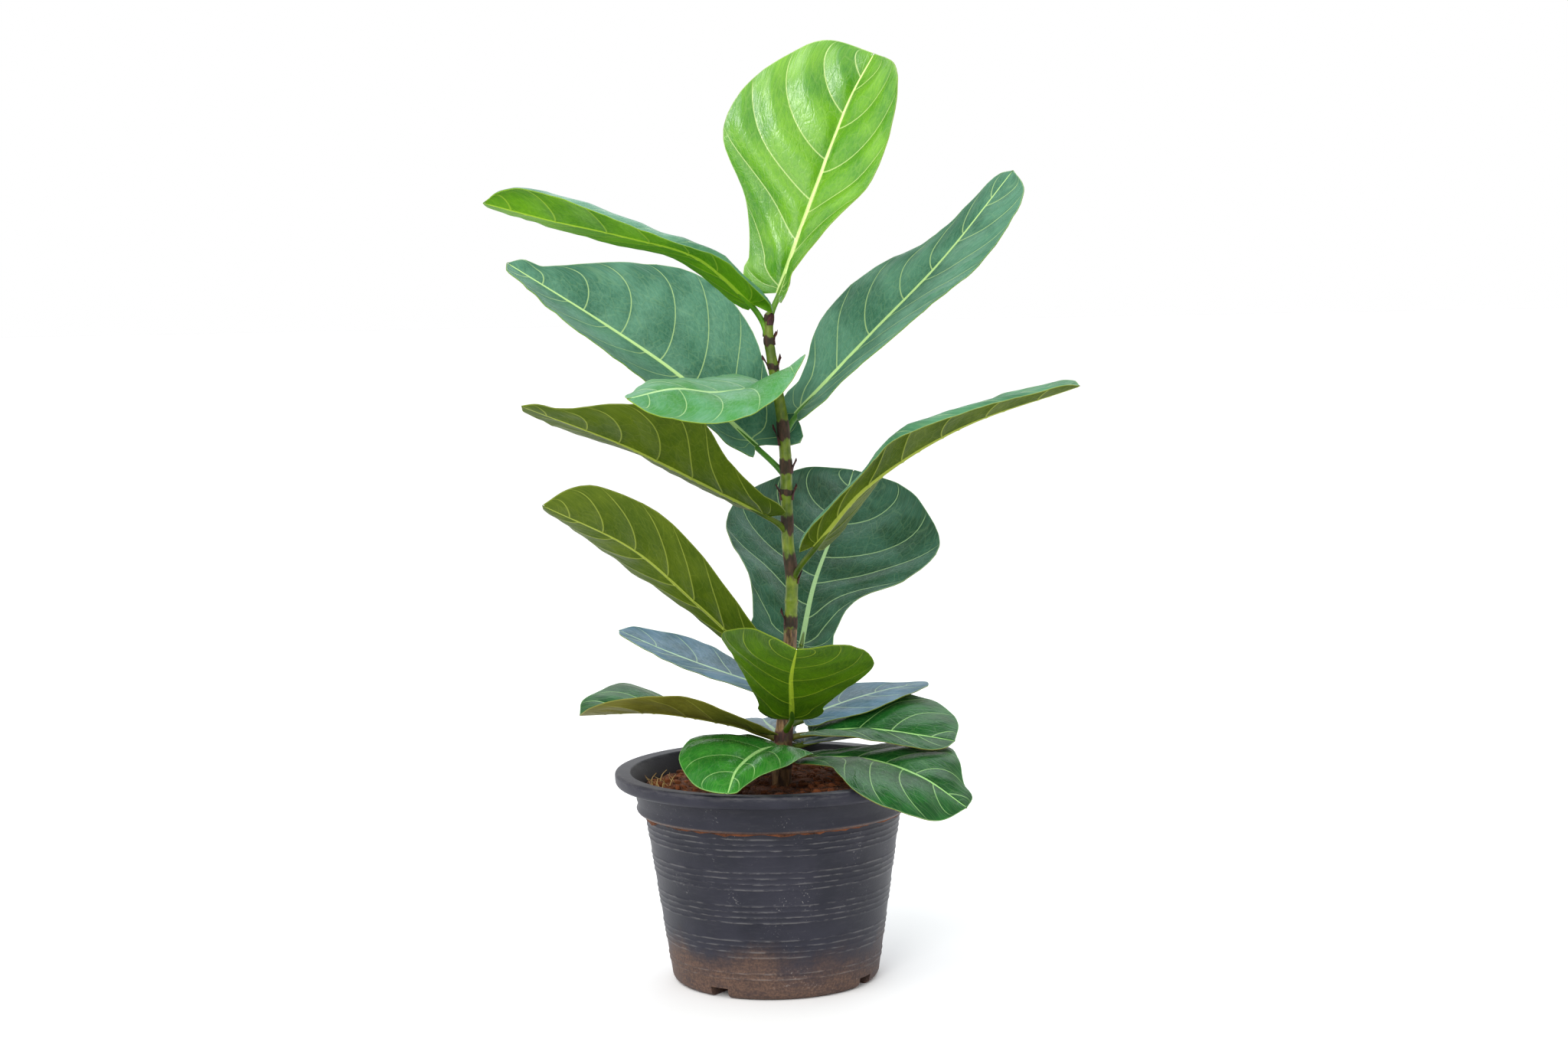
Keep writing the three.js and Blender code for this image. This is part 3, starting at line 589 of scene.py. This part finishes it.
def margin_points(leaf, k, rib, length):
    """The margin of one half, from its widths and lifts along the midrib."""
    points = []
    for station, fullness in MARGIN_STATIONS:
        share = max(station, 0)
        ends = rib(np.array([max(share - FRAME_STEP, 0), min(share + FRAME_STEP, 1)]))
        along = unit(ends[1] - ends[0])
        right = unit(np.cross(along, (0, 0, 1)))
        upper = np.cross(right, along)
        lifts = leaf["lift"][k]
        lift = math.radians(np.interp(share, np.linspace(0, 1, len(lifts)), lifts))
        width = fullness * np.interp(station, WIDTH_PLACES, leaf["half"][k])
        back = -station * length + leaf.get("ear", (0, 0))[k] if station < 0 else 0
        side = (-right, right)[k] * math.cos(lift) + upper * math.sin(lift)
        points.append(rib(np.array([share]))[0] - along * back + side * width)
    return points


def blade_surface(leaf):
    """The part's own surface for a blade, read at shares of the midrib and of the half width."""
    rib = smooth_curve(leaf["rib"])
    trace = rib(np.linspace(0, 1, 201))
    length = np.linalg.norm(np.diff(trace, axis=0), axis=1).sum()
    ends = leaf["rib"][0], leaf["rib"][-1]
    margins = [
        smooth_curve([ends[0], *margin_points(leaf, k, rib, length), ends[1]]) for k in (0, 1)
    ]
    curl = leaf.get("curl", (0, 0))
    steps = np.linspace(0, 1, 15)
    widest = [np.linalg.norm(m(steps) - rib(steps), axis=1).max() for m in margins]

    def read(share, out):
        middle = rib(share)
        along = rib(np.minimum(share + CURL_STEP, 1)) - rib(np.maximum(share - CURL_STEP, 0))
        result = np.zeros(middle.shape)
        for k, sign in enumerate((-1, 1)):
            across = margins[k](share) - middle
            upper = unit(np.cross(sign * across, along))
            a = np.abs(out)
            hump = 4 * leaf["cup"][k] * a * (1 - a) + CURL_SHAPE * curl[k] * a**3 * (1 - a)
            hump = hump * np.linalg.norm(across, axis=-1) / widest[k]
            point = middle + across * a[..., None] + upper * hump[..., None]
            here = out < 0 if k == 0 else out >= 0
            result[here] = point[here]
        return result

    return read


def row_shares(row):
    """Where a row of the grid starts on the midrib and ends on the margin. Rows below 0 fan
    out from the base; the others run like the side veins."""
    fan = 1 + row
    inner = np.where(row < 0, BASE_REACH * fan, BASE_REACH + (1 - BASE_REACH) * row)
    rest = 1 - np.maximum(1 - row, 0) ** TIP_CROWDING
    outer = np.where(row < 0, FAN_REACH * fan, FAN_REACH + (1 - FAN_REACH) * rest)
    return inner, outer


def vein_rows(length, dice):
    """The grid rows that are veins: a list for the left half and one for the right."""
    count = max(3, round(length / 52))
    sides = []
    for lag in (0.0, 0.34):
        rows = [-0.5, 0.0]
        for k in range(1, count + 1):
            row = (k - lag + 0.25 + dice.uniform(-0.09, 0.09)) / (count + 0.9)
            rows.append(row)
        sides.append(rows)
    return sides


def distance_to_line(points, line):
    """Each point's distance to a bent line, and how far along the line that is, 0 to 1."""
    best = np.full(points.shape[:-1], 1e9)
    where = np.zeros(points.shape[:-1])
    for i in range(len(line) - 1):
        start, span = line[i], line[i + 1] - line[i]
        size = max(np.dot(span, span), 1e-12)
        k = np.clip(((points - start) @ span) / size, 0, 1)
        distance = np.linalg.norm(points - start - k[..., None] * span, axis=-1)
        closer = distance < best
        best = np.where(closer, distance, best)
        where = np.where(closer, (i + k) / (len(line) - 1), where)
    return best, where


def surface_normals(points):
    along = np.gradient(points, axis=0)
    across = np.gradient(points, axis=1)
    return unit(np.cross(across, along))


def build_leaf(index, leaf):
    dice = random.Random(40 + index)
    (light, dark, vein, under_light, under_dark, under_vein, rough, wave,
     swell) = LOOKS[leaf["look"]]
    rib_points = np.array(leaf["rib"], float)
    length = np.linalg.norm(np.diff(rib_points, axis=0), axis=1).sum()
    veins = vein_rows(length, dice)
    wanted = {round(v + d, 5) for side in veins for v in side[1:] for d in VEIN_OFFSETS}
    wanted |= {round(veins[0][0] + d, 5) for d in FIRST_OFFSETS}
    rows = sorted(w for w in wanted if w < LAST_ROW)
    for filler in FAN_ROWS + [ROW_STEP * k for k in range(1, 29)] + [LAST_ROW]:
        if min(abs(filler - r) for r in rows) > CLOSEST_ROWS:
            rows.append(filler)
    rows = np.array(sorted(rows))
    outs = np.array([-c for c in reversed(COLUMNS[1:])] + COLUMNS)
    inner, outer = row_shares(rows)
    share = inner[:, None] + (outer - inner)[:, None] * np.abs(outs)[None, :] ** ARCH
    out = np.broadcast_to(outs[None, :], share.shape)
    sheet = blade_surface(leaf)(np.clip(share, 0, 1), out)
    normals = surface_normals(sheet)
    middle = len(COLUMNS) - 1
    rib_line = sheet[:, middle]
    rib_distance, _ = distance_to_line(sheet, rib_line)
    tip_share = np.broadcast_to(np.clip(share, 0, 1), rib_distance.shape)
    rib_half = 2.5 * (1 - tip_share) ** 0.8 + 0.35
    vein_distance = np.full(rib_distance.shape, 1e9)
    vein_scaled = np.full(rib_distance.shape, 1e9)
    edge = np.zeros(rib_distance.shape)
    for k, half in enumerate((slice(0, middle + 1), slice(middle, None))):
        border = sheet[:, 0 if k == 0 else -1]
        edge[:, half] = distance_to_line(sheet[:, half], border)[0]
        for row in veins[k]:
            i = int(np.argmin(np.abs(rows - row)))
            line = sheet[i, half] if k == 1 else sheet[i, half][::-1]
            distance, reach = distance_to_line(sheet[:, half], line)
            minor = 0.6 if row < -0.1 else 1.0
            thickness = minor * (0.72 * (1 - reach) ** 0.7 + 0.22)
            scaled = distance / thickness
            closer = scaled < vein_scaled[:, half]
            vein_scaled[:, half] = np.where(closer, scaled, vein_scaled[:, half])
            vein_distance[:, half] = np.where(
                closer, distance / minor, vein_distance[:, half])
    calm = np.clip(edge / 14, 0, 1) * np.clip(tip_share * 12, 0.2, 1) * np.clip(
        (1 - tip_share) * 6, 0, 1)
    # The blade swells between its veins, waves a little all over and ripples at the margin.
    quilt = swell * (1 - bump(vein_distance, 12.0)) * (1 - bump(rib_distance, 7.0)) * calm
    roll = 1.1 * noise_at(sheet, 34, 7.3 * index) * np.clip(rib_distance / 12, 0, 1)
    ripple = wave * noise_at(sheet, 15, 3.1 * index) * bump(edge, 9.0) * np.clip(
        rib_distance / 10, 0, 1)
    lift = (quilt - 0.6 + roll + ripple)[..., None]
    body = sheet + normals * lift
    normals = surface_normals(body)
    groove = 0.22 * bump(vein_distance, 1.1) * calm + 0.35 * bump(rib_distance, rib_half)
    ridge = 0.75 * bump(vein_distance, 1.0) * calm * (1 - 0.5 * tip_share)
    keel = 2.1 * (1 - tip_share) ** 0.9 * bump(rib_distance, 0.85 * rib_half) + ridge
    top = body + normals * (HALF_THICKNESS - groove)[..., None]
    low = body - normals * (HALF_THICKNESS + keel)[..., None]
    upper_faces, other_faces = shell_faces(*rib_distance.shape)
    faces = upper_faces + other_faces
    skins = [0] * len(upper_faces) + [1] * len(other_faces)
    reach = np.broadcast_to(rows[:, None] * length, rib_distance.shape)
    flat = np.stack([reach / 10, rib_distance * np.sign(out) / 10,
                     np.full(reach.shape, 3.7 * index)], -1)
    lines = np.stack([rib_distance / rib_half, vein_scaled, edge], -1)
    points = np.concatenate([top.reshape(-1, 3), low.reshape(-1, 3)])
    layers = {"flat": np.concatenate([flat.reshape(-1, 3)] * 2),
              "lines": np.concatenate([lines.reshape(-1, 3)] * 2)}
    stalk, stalk_faces = build_petiole(leaf, rib_line, normals[:, middle], len(points))
    points = np.concatenate([points, stalk])
    faces += stalk_faces
    skins += [2] * len(stalk_faces)
    blank = np.full((len(stalk), 3), 50.0)
    layers = {key: np.concatenate([values, blank]) for key, values in layers.items()}
    materials = [
        blade_material(leaf["name"] + "_upper", light, dark, vein, rough, index, True,
                       SHEEN.get(leaf["look"], 0.2)),
        blade_material(leaf["name"] + "_under", under_light, under_dark, under_vein,
                       0.46, index, False),
        petiole_material(leaf["name"] + "_petiole", under_light, under_dark),
    ]
    new_piece("blade_" + leaf["name"], points, faces, materials, [leaf["name"]],
              skins, layers)


def build_petiole(leaf, rib_line, normals, start):
    """A round stalk from the stem's side into the keel under the blade."""
    middle, radius = stem_at(leaf["joins"])
    root = np.array([middle, 0, leaf["joins"]], float)
    base = rib_line[0]
    onward_row = int(np.argmin(np.abs(np.linalg.norm(rib_line - base, axis=1) - 22)))
    onward = rib_line[onward_row] - 1.6 * normals[onward_row]
    lead = unit(base - onward)
    span = np.linalg.norm(base - root)
    bend = root + 0.55 * (base - root) + 0.12 * span * lead
    under = base - 1.9 * normals[onward_row]
    path = smooth_curve([root, bend, under, onward])(np.linspace(0.02, 1, 26))
    far = np.linspace(0, 1, len(path))
    radii = 2.75 + 1.5 * np.exp(-np.linalg.norm(path - root, axis=1) / (1.1 * radius)) - (
        1.5 * np.clip((far - 0.62) / 0.38, 0, 1) ** 1.3)
    rings = tube_rings(path, radii, PETIOLE_SIDES)
    count = len(path)
    points = np.concatenate([rings.reshape(-1, 3), [path[0], path[-1]]])
    faces = grid_faces(count, PETIOLE_SIDES, start, closed=True)
    first = start + count * PETIOLE_SIDES
    end = first - PETIOLE_SIDES
    for j in range(PETIOLE_SIDES):
        following = (j + 1) % PETIOLE_SIDES
        faces.append((start + following, start + j, first))
        faces.append((end + j, end + following, first + 1))
    return points, faces


# ---------------------------------------------------------------- stem and its scales


def build_stem():
    sides = 40
    foot = 172.0
    tip = STEM[-1][0]
    heights = np.concatenate([np.arange(foot, tip, 1.6), [tip, tip + 2, tip + 3.2]])
    middles, radii = stem_at(np.minimum(heights, tip))
    kernel = np.ones(13) / 13
    middles = np.convolve(np.pad(middles, 6, mode="edge"), kernel, "valid")
    radii = np.convolve(np.pad(radii, 6, mode="edge"), kernel, "valid")
    radii[-2:] *= (0.7, 0.25)
    turns = np.linspace(0, 2 * np.pi, sides, endpoint=False)
    z, turn = np.meshgrid(heights, turns, indexing="ij")
    around = np.stack([np.cos(turn) * 9, np.sin(turn) * 9, z], -1)
    woody = np.clip((360 - z) / 40, 0, 1)
    furrow = noise_at(around * [1, 1, 0.16], 3.2, 5.0) * (0.15 + 0.75 * woody)
    swell = np.zeros(z.shape)
    band = np.zeros(z.shape)
    wander = 2.5 * noise_at(around, 9.0, 11.0)
    for height, half, depth in NODES:
        away = np.abs(z + wander - height)
        swell += 0.75 * bump(away, half + 1.5) - 0.35 * bump(away - half, 0.9)
        band = np.maximum(band, depth * np.clip(1.35 - away / half, 0, 1))
    radius = radii[:, None] + swell + furrow
    points = np.stack([middles[:, None] + radius * np.cos(turn), radius * np.sin(turn), z], -1)
    count = len(heights)
    marks = np.stack([band, woody, np.zeros(z.shape)], -1).reshape(-1, 3)
    top = [[middles[-1], 0, heights[-1] + 0.4], [middles[0], 0, foot]]
    faces = grid_faces(count, sides, closed=True)
    last = (count - 1) * sides
    for j in range(sides):
        faces.append((last + j, last + (j + 1) % sides, count * sides))
        faces.append(((j + 1) % sides, j, count * sides + 1))
    points = np.concatenate([points.reshape(-1, 3), top])
    marks = np.concatenate([marks, [[0.9, 0, 0], [0, 1, 0]]])
    new_piece("stem_skin", points, faces, [bark_material()], ["stem"],
              layers={"marks": marks})


def build_stipules(material):
    rows, columns = 12, 9
    for number, (height, turn, length) in enumerate(STIPULES, 1):
        dice = random.Random(700 + number)
        grid = np.zeros((rows, columns, 3))
        torn = [dice.uniform(-0.12, 0.12) for _ in range(columns)]
        for i in range(rows):
            up = i / (rows - 1)
            for j in range(columns):
                side = 2 * j / (columns - 1) - 1
                reach = up * (1 + torn[j] * up) * (1 - 0.22 * side**2)
                z = height + length * (reach - 0.5)
                middle, radius = stem_at(z)
                spread = 46 * side * (1 - 0.72 * up**1.3)
                angle = math.radians(turn + spread + 6 * math.sin(5 * up + number))
                peel = radius + 0.7 + 3.6 * up**2.2 + 0.5 * math.sin(3 * side + number)
                grid[i, j] = (middle + peel * math.cos(angle), peel * math.sin(angle), z)
        normals = surface_normals(grid)
        outer = grid + 0.25 * normals
        inner = grid - 0.25 * normals
        upper_faces, other_faces = shell_faces(rows, columns)
        faces = upper_faces + other_faces
        points = np.concatenate([outer.reshape(-1, 3), inner.reshape(-1, 3)])
        new_piece(f"bud_scale_{number}", points, faces, [material],
                  [f"stipule_{number}"])


# ---------------------------------------------------------------- pot

RIB_GROUPS = [(158.0, 4), (125.5, 4), (93.0, 4), (59.0, 4), (26.5, 2)]
RIB_STEP = 5.5
RIB_SHAPE = [(1.9, 0.0), (1.1, 0.18), (0.5, 0.5), (0.0, 0.62), (-0.5, 0.5), (-1.1, 0.18),
             (-1.9, 0.0)]


def arc(radius, height, size, start, end, steps):
    """Points of a rounded corner: centre, size and two angles in degrees."""
    angles = np.radians(np.linspace(start, end, steps))
    return [(radius + size * math.cos(a), height + size * math.sin(a)) for a in angles]


def pot_profile():
    """(radius, height, rib crest, inside) from the middle of the base round to the floor."""
    slope = (BODY_TOP_RADIUS - BODY_FOOT_RADIUS) / (COLLAR_FOOT - FOOT_ROUND)

    def wall(height):
        return BODY_FOOT_RADIUS + slope * (height - FOOT_ROUND)

    foot = BODY_FOOT_RADIUS - FOOT_ROUND
    points = [(r, 0.0, 0, 0) for r in (0.0, 30.0, 60.0, 67.9, 68.1, 80.0, foot - 1)]
    points += [(r, z, 0, 0) for r, z in arc(foot, FOOT_ROUND, FOOT_ROUND, -88, -6, 8)]
    ribs = sorted(top - RIB_STEP * k for top, number in RIB_GROUPS for k in range(number))
    points.append((wall(9.4), 9.4, 0, 0))
    points.append((wall(10.6), 10.6, 0, 0))
    for rib in ribs:
        for dz, rise in reversed(RIB_SHAPE):
            crest = max(0.0, 1 - abs(dz) / 0.9)
            points.append((wall(rib + dz) + rise, rib + dz, crest, 0))
    bottom = RIM_TOP - RIM_HEIGHT
    points += [(BODY_TOP_RADIUS, COLLAR_FOOT - 0.4, 0, 0)]
    turn_in = arc(BODY_TOP_RADIUS + 3.4, COLLAR_FOOT + 5.2, 5, -92, -10, 6)
    points += [(r, z, 0, 0) for r, z in turn_in]
    points += [(COLLAR_RADIUS - 2.4, COLLAR_FOOT + 9, 0, 0),
               (COLLAR_RADIUS - 0.8, COLLAR_FOOT + 13, 0, 0),
               (COLLAR_RADIUS - 0.2, bottom - 2.2, 0, 0), (COLLAR_RADIUS + 0.6, bottom - 0.8, 0, 0),
               (COLLAR_RADIUS + 3, bottom - 0.1, 0, 0), (RIM_RADIUS - 9, bottom, 0, 0)]
    points += [(r, z, 0, 0) for r, z in arc(RIM_RADIUS - 5.2, bottom + 5, 5, -88, -12, 6)]
    points += [(RIM_RADIUS - 0.1, bottom + 7, 0, 0)]
    points += [(r, z, 0.25, 0) for r, z in arc(RIM_RADIUS - 3, RIM_TOP - 3, 3, 4, 86, 7)]
    lip = RIM_RADIUS - RIM_WIDTH
    points += [(RIM_RADIUS - 5, RIM_TOP - 0.1, 0, 0), (lip + 2, RIM_TOP - 0.4, 0, 0)]
    points += [(r, z, 0.3, 0) for r, z in arc(lip + 1.6, RIM_TOP - 2.2, 1.8, 95, 170, 5)]
    points += [(lip - 1.6, RIM_TOP - 5, 0, 0.4), (COLLAR_RADIUS - WALL + 0.6, bottom - 1, 0, 0.7),
               (COLLAR_RADIUS - WALL - 1.4, bottom - 8, 0, 1),
               (COLLAR_RADIUS - WALL - 3, COLLAR_FOOT + 7, 0, 1),
               (BODY_TOP_RADIUS - WALL, COLLAR_FOOT - 3, 0, 1),
               (BODY_FOOT_RADIUS - WALL, FOOT_ROUND + 6, 0, 1),
               (foot - 4, DRAIN_HEIGHT + WALL, 0, 1), (0.0, DRAIN_HEIGHT + WALL, 0, 1)]
    return points


def build_pot():
    profile = pot_profile()
    half = DRAIN_WIDTH / 2
    columns = []  # (turn in degrees, drain it stands beside or None, which side, inside it)
    for drain in DRAIN_ANGLES:
        columns += [(drain, -1, 0), (drain, -1, 1), (drain, -0.5, 1), (drain, 0, 1),
                    (drain, 0.5, 1), (drain, 1, 1), (drain, 1, 0)]
        for k in range(1, 38):
            columns.append((drain + 7 + 76 * k / 38, None, 0))
    grid = np.zeros((len(profile), len(columns), 3))
    marks = np.zeros((len(profile), len(columns), 3))
    for i, (radius, height, crest, inside) in enumerate(profile):
        for j, (turn, side, within) in enumerate(columns):
            z = height
            angle = math.radians(turn)
            if side is not None:
                reach = max(radius, DRAIN_INNER_RADIUS)
                angle += side * math.asin(half / min(reach, BODY_FOOT_RADIUS + 1))
                outside = inside == 0 and DRAIN_INNER_RADIUS < radius
                if within and outside and height < DRAIN_HEIGHT:
                    z = DRAIN_HEIGHT
            grid[i, j] = (radius * math.cos(angle), radius * math.sin(angle), z)
            marks[i, j] = (crest, inside, 0)
    faces = grid_faces(len(profile), len(columns), closed=True)
    piece = new_piece("pot_shell", grid.reshape(-1, 3), faces, [pot_material()],
                      ["pot"], layers={"marks": marks.reshape(-1, 3)})
    clean(piece)
    return piece


def clean(piece):
    """Joins points that lie on each other and drops faces with no area."""
    work = bmesh.new()
    work.from_mesh(piece.data)
    bmesh.ops.remove_doubles(work, verts=work.verts, dist=2e-5)
    bmesh.ops.dissolve_degenerate(work, edges=work.edges, dist=2e-6)
    work.to_mesh(piece.data)
    work.free()
    piece.data.set_sharp_from_angle(angle=math.radians(50))


# ---------------------------------------------------------------- soil


def build_soil(material):
    """The top of the potting mix, with a skirt that goes down behind the pot's wall."""
    rings = np.concatenate([[0.5], np.linspace(5, 124, 46), [126.2, 126.6, 126.2]])
    drop = np.concatenate([np.zeros(47), [0, 6, 22]])
    sides = 150
    grid = np.zeros((len(rings), sides, 3))
    for i, ring in enumerate(rings):
        turns = np.linspace(0, 2 * np.pi, sides, endpoint=False)
        grid[i, :, 0] = ring * np.cos(turns)
        grid[i, :, 1] = ring * np.sin(turns)
    rough = 2.6 * noise_at(grid, 21, 2.0) + 1.6 * noise_at(grid, 7, 4.0) + 1.0 * noise_at(
        grid, 3, 8.0)
    grid[..., 2] = SOIL_TOP + 0.6 + rough + 1.5 * (1 - (rings / 126) ** 2)[:, None] - drop[:, None]
    faces = grid_faces(len(rings), sides, closed=True)
    points = np.concatenate([grid.reshape(-1, 3), [[0, 0, grid[0, :, 2].mean()]]])
    centre = len(points) - 1
    faces += [((j + 1) % sides, j, centre) for j in range(sides)]
    foot = (len(rings) - 1) * sides
    points = np.concatenate([points, [[0, 0, SOIL_TOP - 22]]])
    faces += [(foot + j, foot + (j + 1) % sides, centre + 1) for j in range(sides)]
    faces = [tuple(reversed(f)) for f in faces]
    new_piece("coir_bed", points, faces, [material], ["soil"])


def lump(centre, size, flat, seed):
    """A torn block of husk: points and triangles."""
    work = bmesh.new()
    bmesh.ops.create_icosphere(work, subdivisions=2, radius=1)
    dice = random.Random(seed)
    turn = Matrix.Rotation(dice.uniform(0, 6.28), 3, "Z") @ Matrix.Rotation(
        dice.uniform(-0.5, 0.5), 3, "X")
    shape = Vector((dice.uniform(0.7, 1.15), dice.uniform(0.45, 0.8), flat))
    points = []
    for vertex in work.verts:
        p = vertex.co.copy()
        square = max(abs(p.x), abs(p.y), abs(p.z))
        p *= 0.55 + 0.45 / square
        p *= 1 + 0.22 * noise.noise(p * 2.1 + Vector((seed, 0, 0)))
        p = turn @ Vector((p.x * shape.x, p.y * shape.y, p.z * shape.z)) * size
        points.append((centre[0] + p.x, centre[1] + p.y, centre[2] + p.z))
    faces = [tuple(v.index for v in f.verts) for f in work.faces]
    work.free()
    return points, faces


def build_husk(material):
    for number, (x, y, size) in enumerate(HUSK_CHIPS, 1):
        points, faces = lump((x, y, SOIL_TOP + 1 + 0.33 * size), 0.86 * size, 0.42, 90 + number)
        new_piece(f"husk_block_{number}", points, faces, [material],
                  [f"husk_chip_{number}"])
    dice = random.Random(12)
    points, faces = [], []
    for number in range(330):
        turn, reach = dice.uniform(0, 6.283), 122 * math.sqrt(dice.random())
        x, y = reach * math.cos(turn), reach * math.sin(turn)
        size = dice.choice((1.6, 2.2, 3.0, 4.2, 5.4))
        more, rest = lump((x, y, SOIL_TOP + 1.4 + 0.3 * size), size, 0.5, 200 + number)
        faces += [tuple(len(points) + k for k in face) for face in rest]
        points += more
    new_piece("husk_crumbs", points, faces, [material])


def build_fibres(material, straw_material):
    """Loose fibres over the soil, and a few dry straws that lean on the rim at the left."""
    dice = random.Random(31)
    points, faces = [], []
    for _ in range(420):
        turn, reach = dice.uniform(0, 6.283), 118 * math.sqrt(dice.random())
        here = np.array([reach * math.cos(turn), reach * math.sin(turn),
                         SOIL_TOP + 2.2 + dice.uniform(0, 2.5)])
        heading = dice.uniform(0, 6.283)
        path = [here]
        for _ in range(7):
            heading += dice.uniform(-0.7, 0.7)
            step = dice.uniform(2.0, 4.2)
            here = here + [step * math.cos(heading), step * math.sin(heading),
                           dice.uniform(-0.9, 0.9)]
            here[2] = max(here[2], SOIL_TOP + 1.5)
            path.append(here)
        if max(np.hypot(p[0], p[1]) for p in path) > 124:
            continue
        radii = np.linspace(0.34, 0.14, len(path)) * dice.uniform(0.7, 1.4)
        rings = tube_rings(path, radii, 5)
        faces += grid_faces(len(path), 5, len(points), closed=True)
        points += list(rings.reshape(-1, 3))
    new_piece("coir_fibres", points, faces, [material])
    points, faces = [], []
    for _ in range(16):
        turn = math.radians(dice.uniform(165, 215))
        reach = dice.uniform(96, 118)
        foot = np.array([reach * math.cos(turn), reach * math.sin(turn), SOIL_TOP + 2])
        away = math.radians(dice.uniform(60, 300))
        size = dice.uniform(16, 36)
        top = foot + [0.55 * size * math.cos(away), 0.55 * size * math.sin(away), 0.42 * size]
        if np.hypot(top[0], top[1]) > 124:
            top[:2] *= 124 / np.hypot(top[0], top[1])
        sag = (foot + top) / 2 + [dice.uniform(-3, 3), dice.uniform(-3, 3), 2]
        path = smooth_curve([foot, sag, top])(np.linspace(0, 1, 9))
        rings = tube_rings(path, np.linspace(0.75, 0.35, 9), 6, 0.5)
        faces += grid_faces(9, 6, len(points), closed=True)
        points += list(rings.reshape(-1, 3))
    new_piece("dry_straws", points, faces, [straw_material])


# ---------------------------------------------------------------- camera, light and floor


def build_camera():
    data = bpy.data.cameras.new("view")
    data.sensor_width = 36
    data.lens = 59.34
    camera = bpy.data.objects.new("view", data)
    turn = Matrix.Rotation(math.radians(85), 4, "X") @ Matrix.Rotation(math.radians(-1.1), 4, "Z")
    camera.matrix_world = Matrix.Translation((0.016, -2.470, 0.657)) @ turn
    bpy.context.scene.collection.objects.link(camera)
    bpy.context.scene.camera = camera


def area_light(name, place, aim, size, power, tint):
    data = bpy.data.lights.new(name, "AREA")
    data.shape = "RECTANGLE"
    data.size, data.size_y = size
    data.energy = power
    data.color = tint
    light = bpy.data.objects.new(name, data)
    light.location = place
    direction = Vector(aim) - Vector(place)
    light.rotation_euler = direction.to_track_quat("-Z", "Y").to_euler()
    bpy.context.scene.collection.objects.link(light)


def build_studio():
    world = bpy.data.worlds.new("studio")
    world.use_nodes = True
    world.node_tree.nodes["Background"].inputs["Color"].default_value = (1, 1, 1, 1)
    bpy.context.scene.world = world
    bpy.context.scene.view_settings.view_transform = "Standard"
    data = bpy.data.lights.new("daylight", "SUN")
    data.energy = 0.8
    data.angle = math.radians(34)
    sun = bpy.data.objects.new("daylight", data)
    sun.rotation_euler = Vector((0.38, 0.52, -0.78)).to_track_quat("-Z", "Y").to_euler()
    bpy.context.scene.collection.objects.link(sun)
    area_light("window", (-0.75, -2.75, 1.5), (0.02, 0, 0.78), (1.0, 1.2), 38, (1.0, 1.0, 0.98))
    area_light("high_back", (0.5, 1.6, 2.3), (0, 0, 0.4), (2.2, 1.4), 22, (0.82, 0.91, 1.0))
    mesh = bpy.data.meshes.new("floor")
    half = 60.0
    corners = [(-half, -half, 0), (half, -half, 0), (half, half, 0), (-half, half, 0)]
    mesh.from_pydata(corners, [], [(0, 1, 2, 3)])
    floor = bpy.data.objects.new("floor", mesh)
    paint = Paint("pale_floor", Specular_IOR_Level=0.1)
    cloud = paint.noise(paint.place(), 3.0, 3.0)
    paint.done(paint.mix(cloud, (0.94, 0.94, 0.94, 1), (0.96, 0.96, 0.96, 1)),
               paint.ramp(cloud, 0.3, 0.7, 0.8, 0.9))
    mesh.materials.append(paint.material)
    bpy.context.scene.collection.objects.link(floor)


# ---------------------------------------------------------------- all of it

build_camera()
build_studio()
build_pot()
coir = coir_material("coir", (118, 66, 36), (52, 28, 16), (170, 112, 66))
build_soil(coir)
build_husk(coir_material("husk", (134, 74, 38), (70, 36, 18), (184, 122, 72)))
build_fibres(coir_material("fibre", (142, 86, 48), (84, 46, 24), (186, 130, 84)),
             coir_material("straw", (190, 160, 104), (140, 106, 62), (214, 190, 140)))
build_stem()
build_stipules(stipule_material())
for number, leaf in enumerate(LEAVES, 1):
    build_leaf(number, leaf)
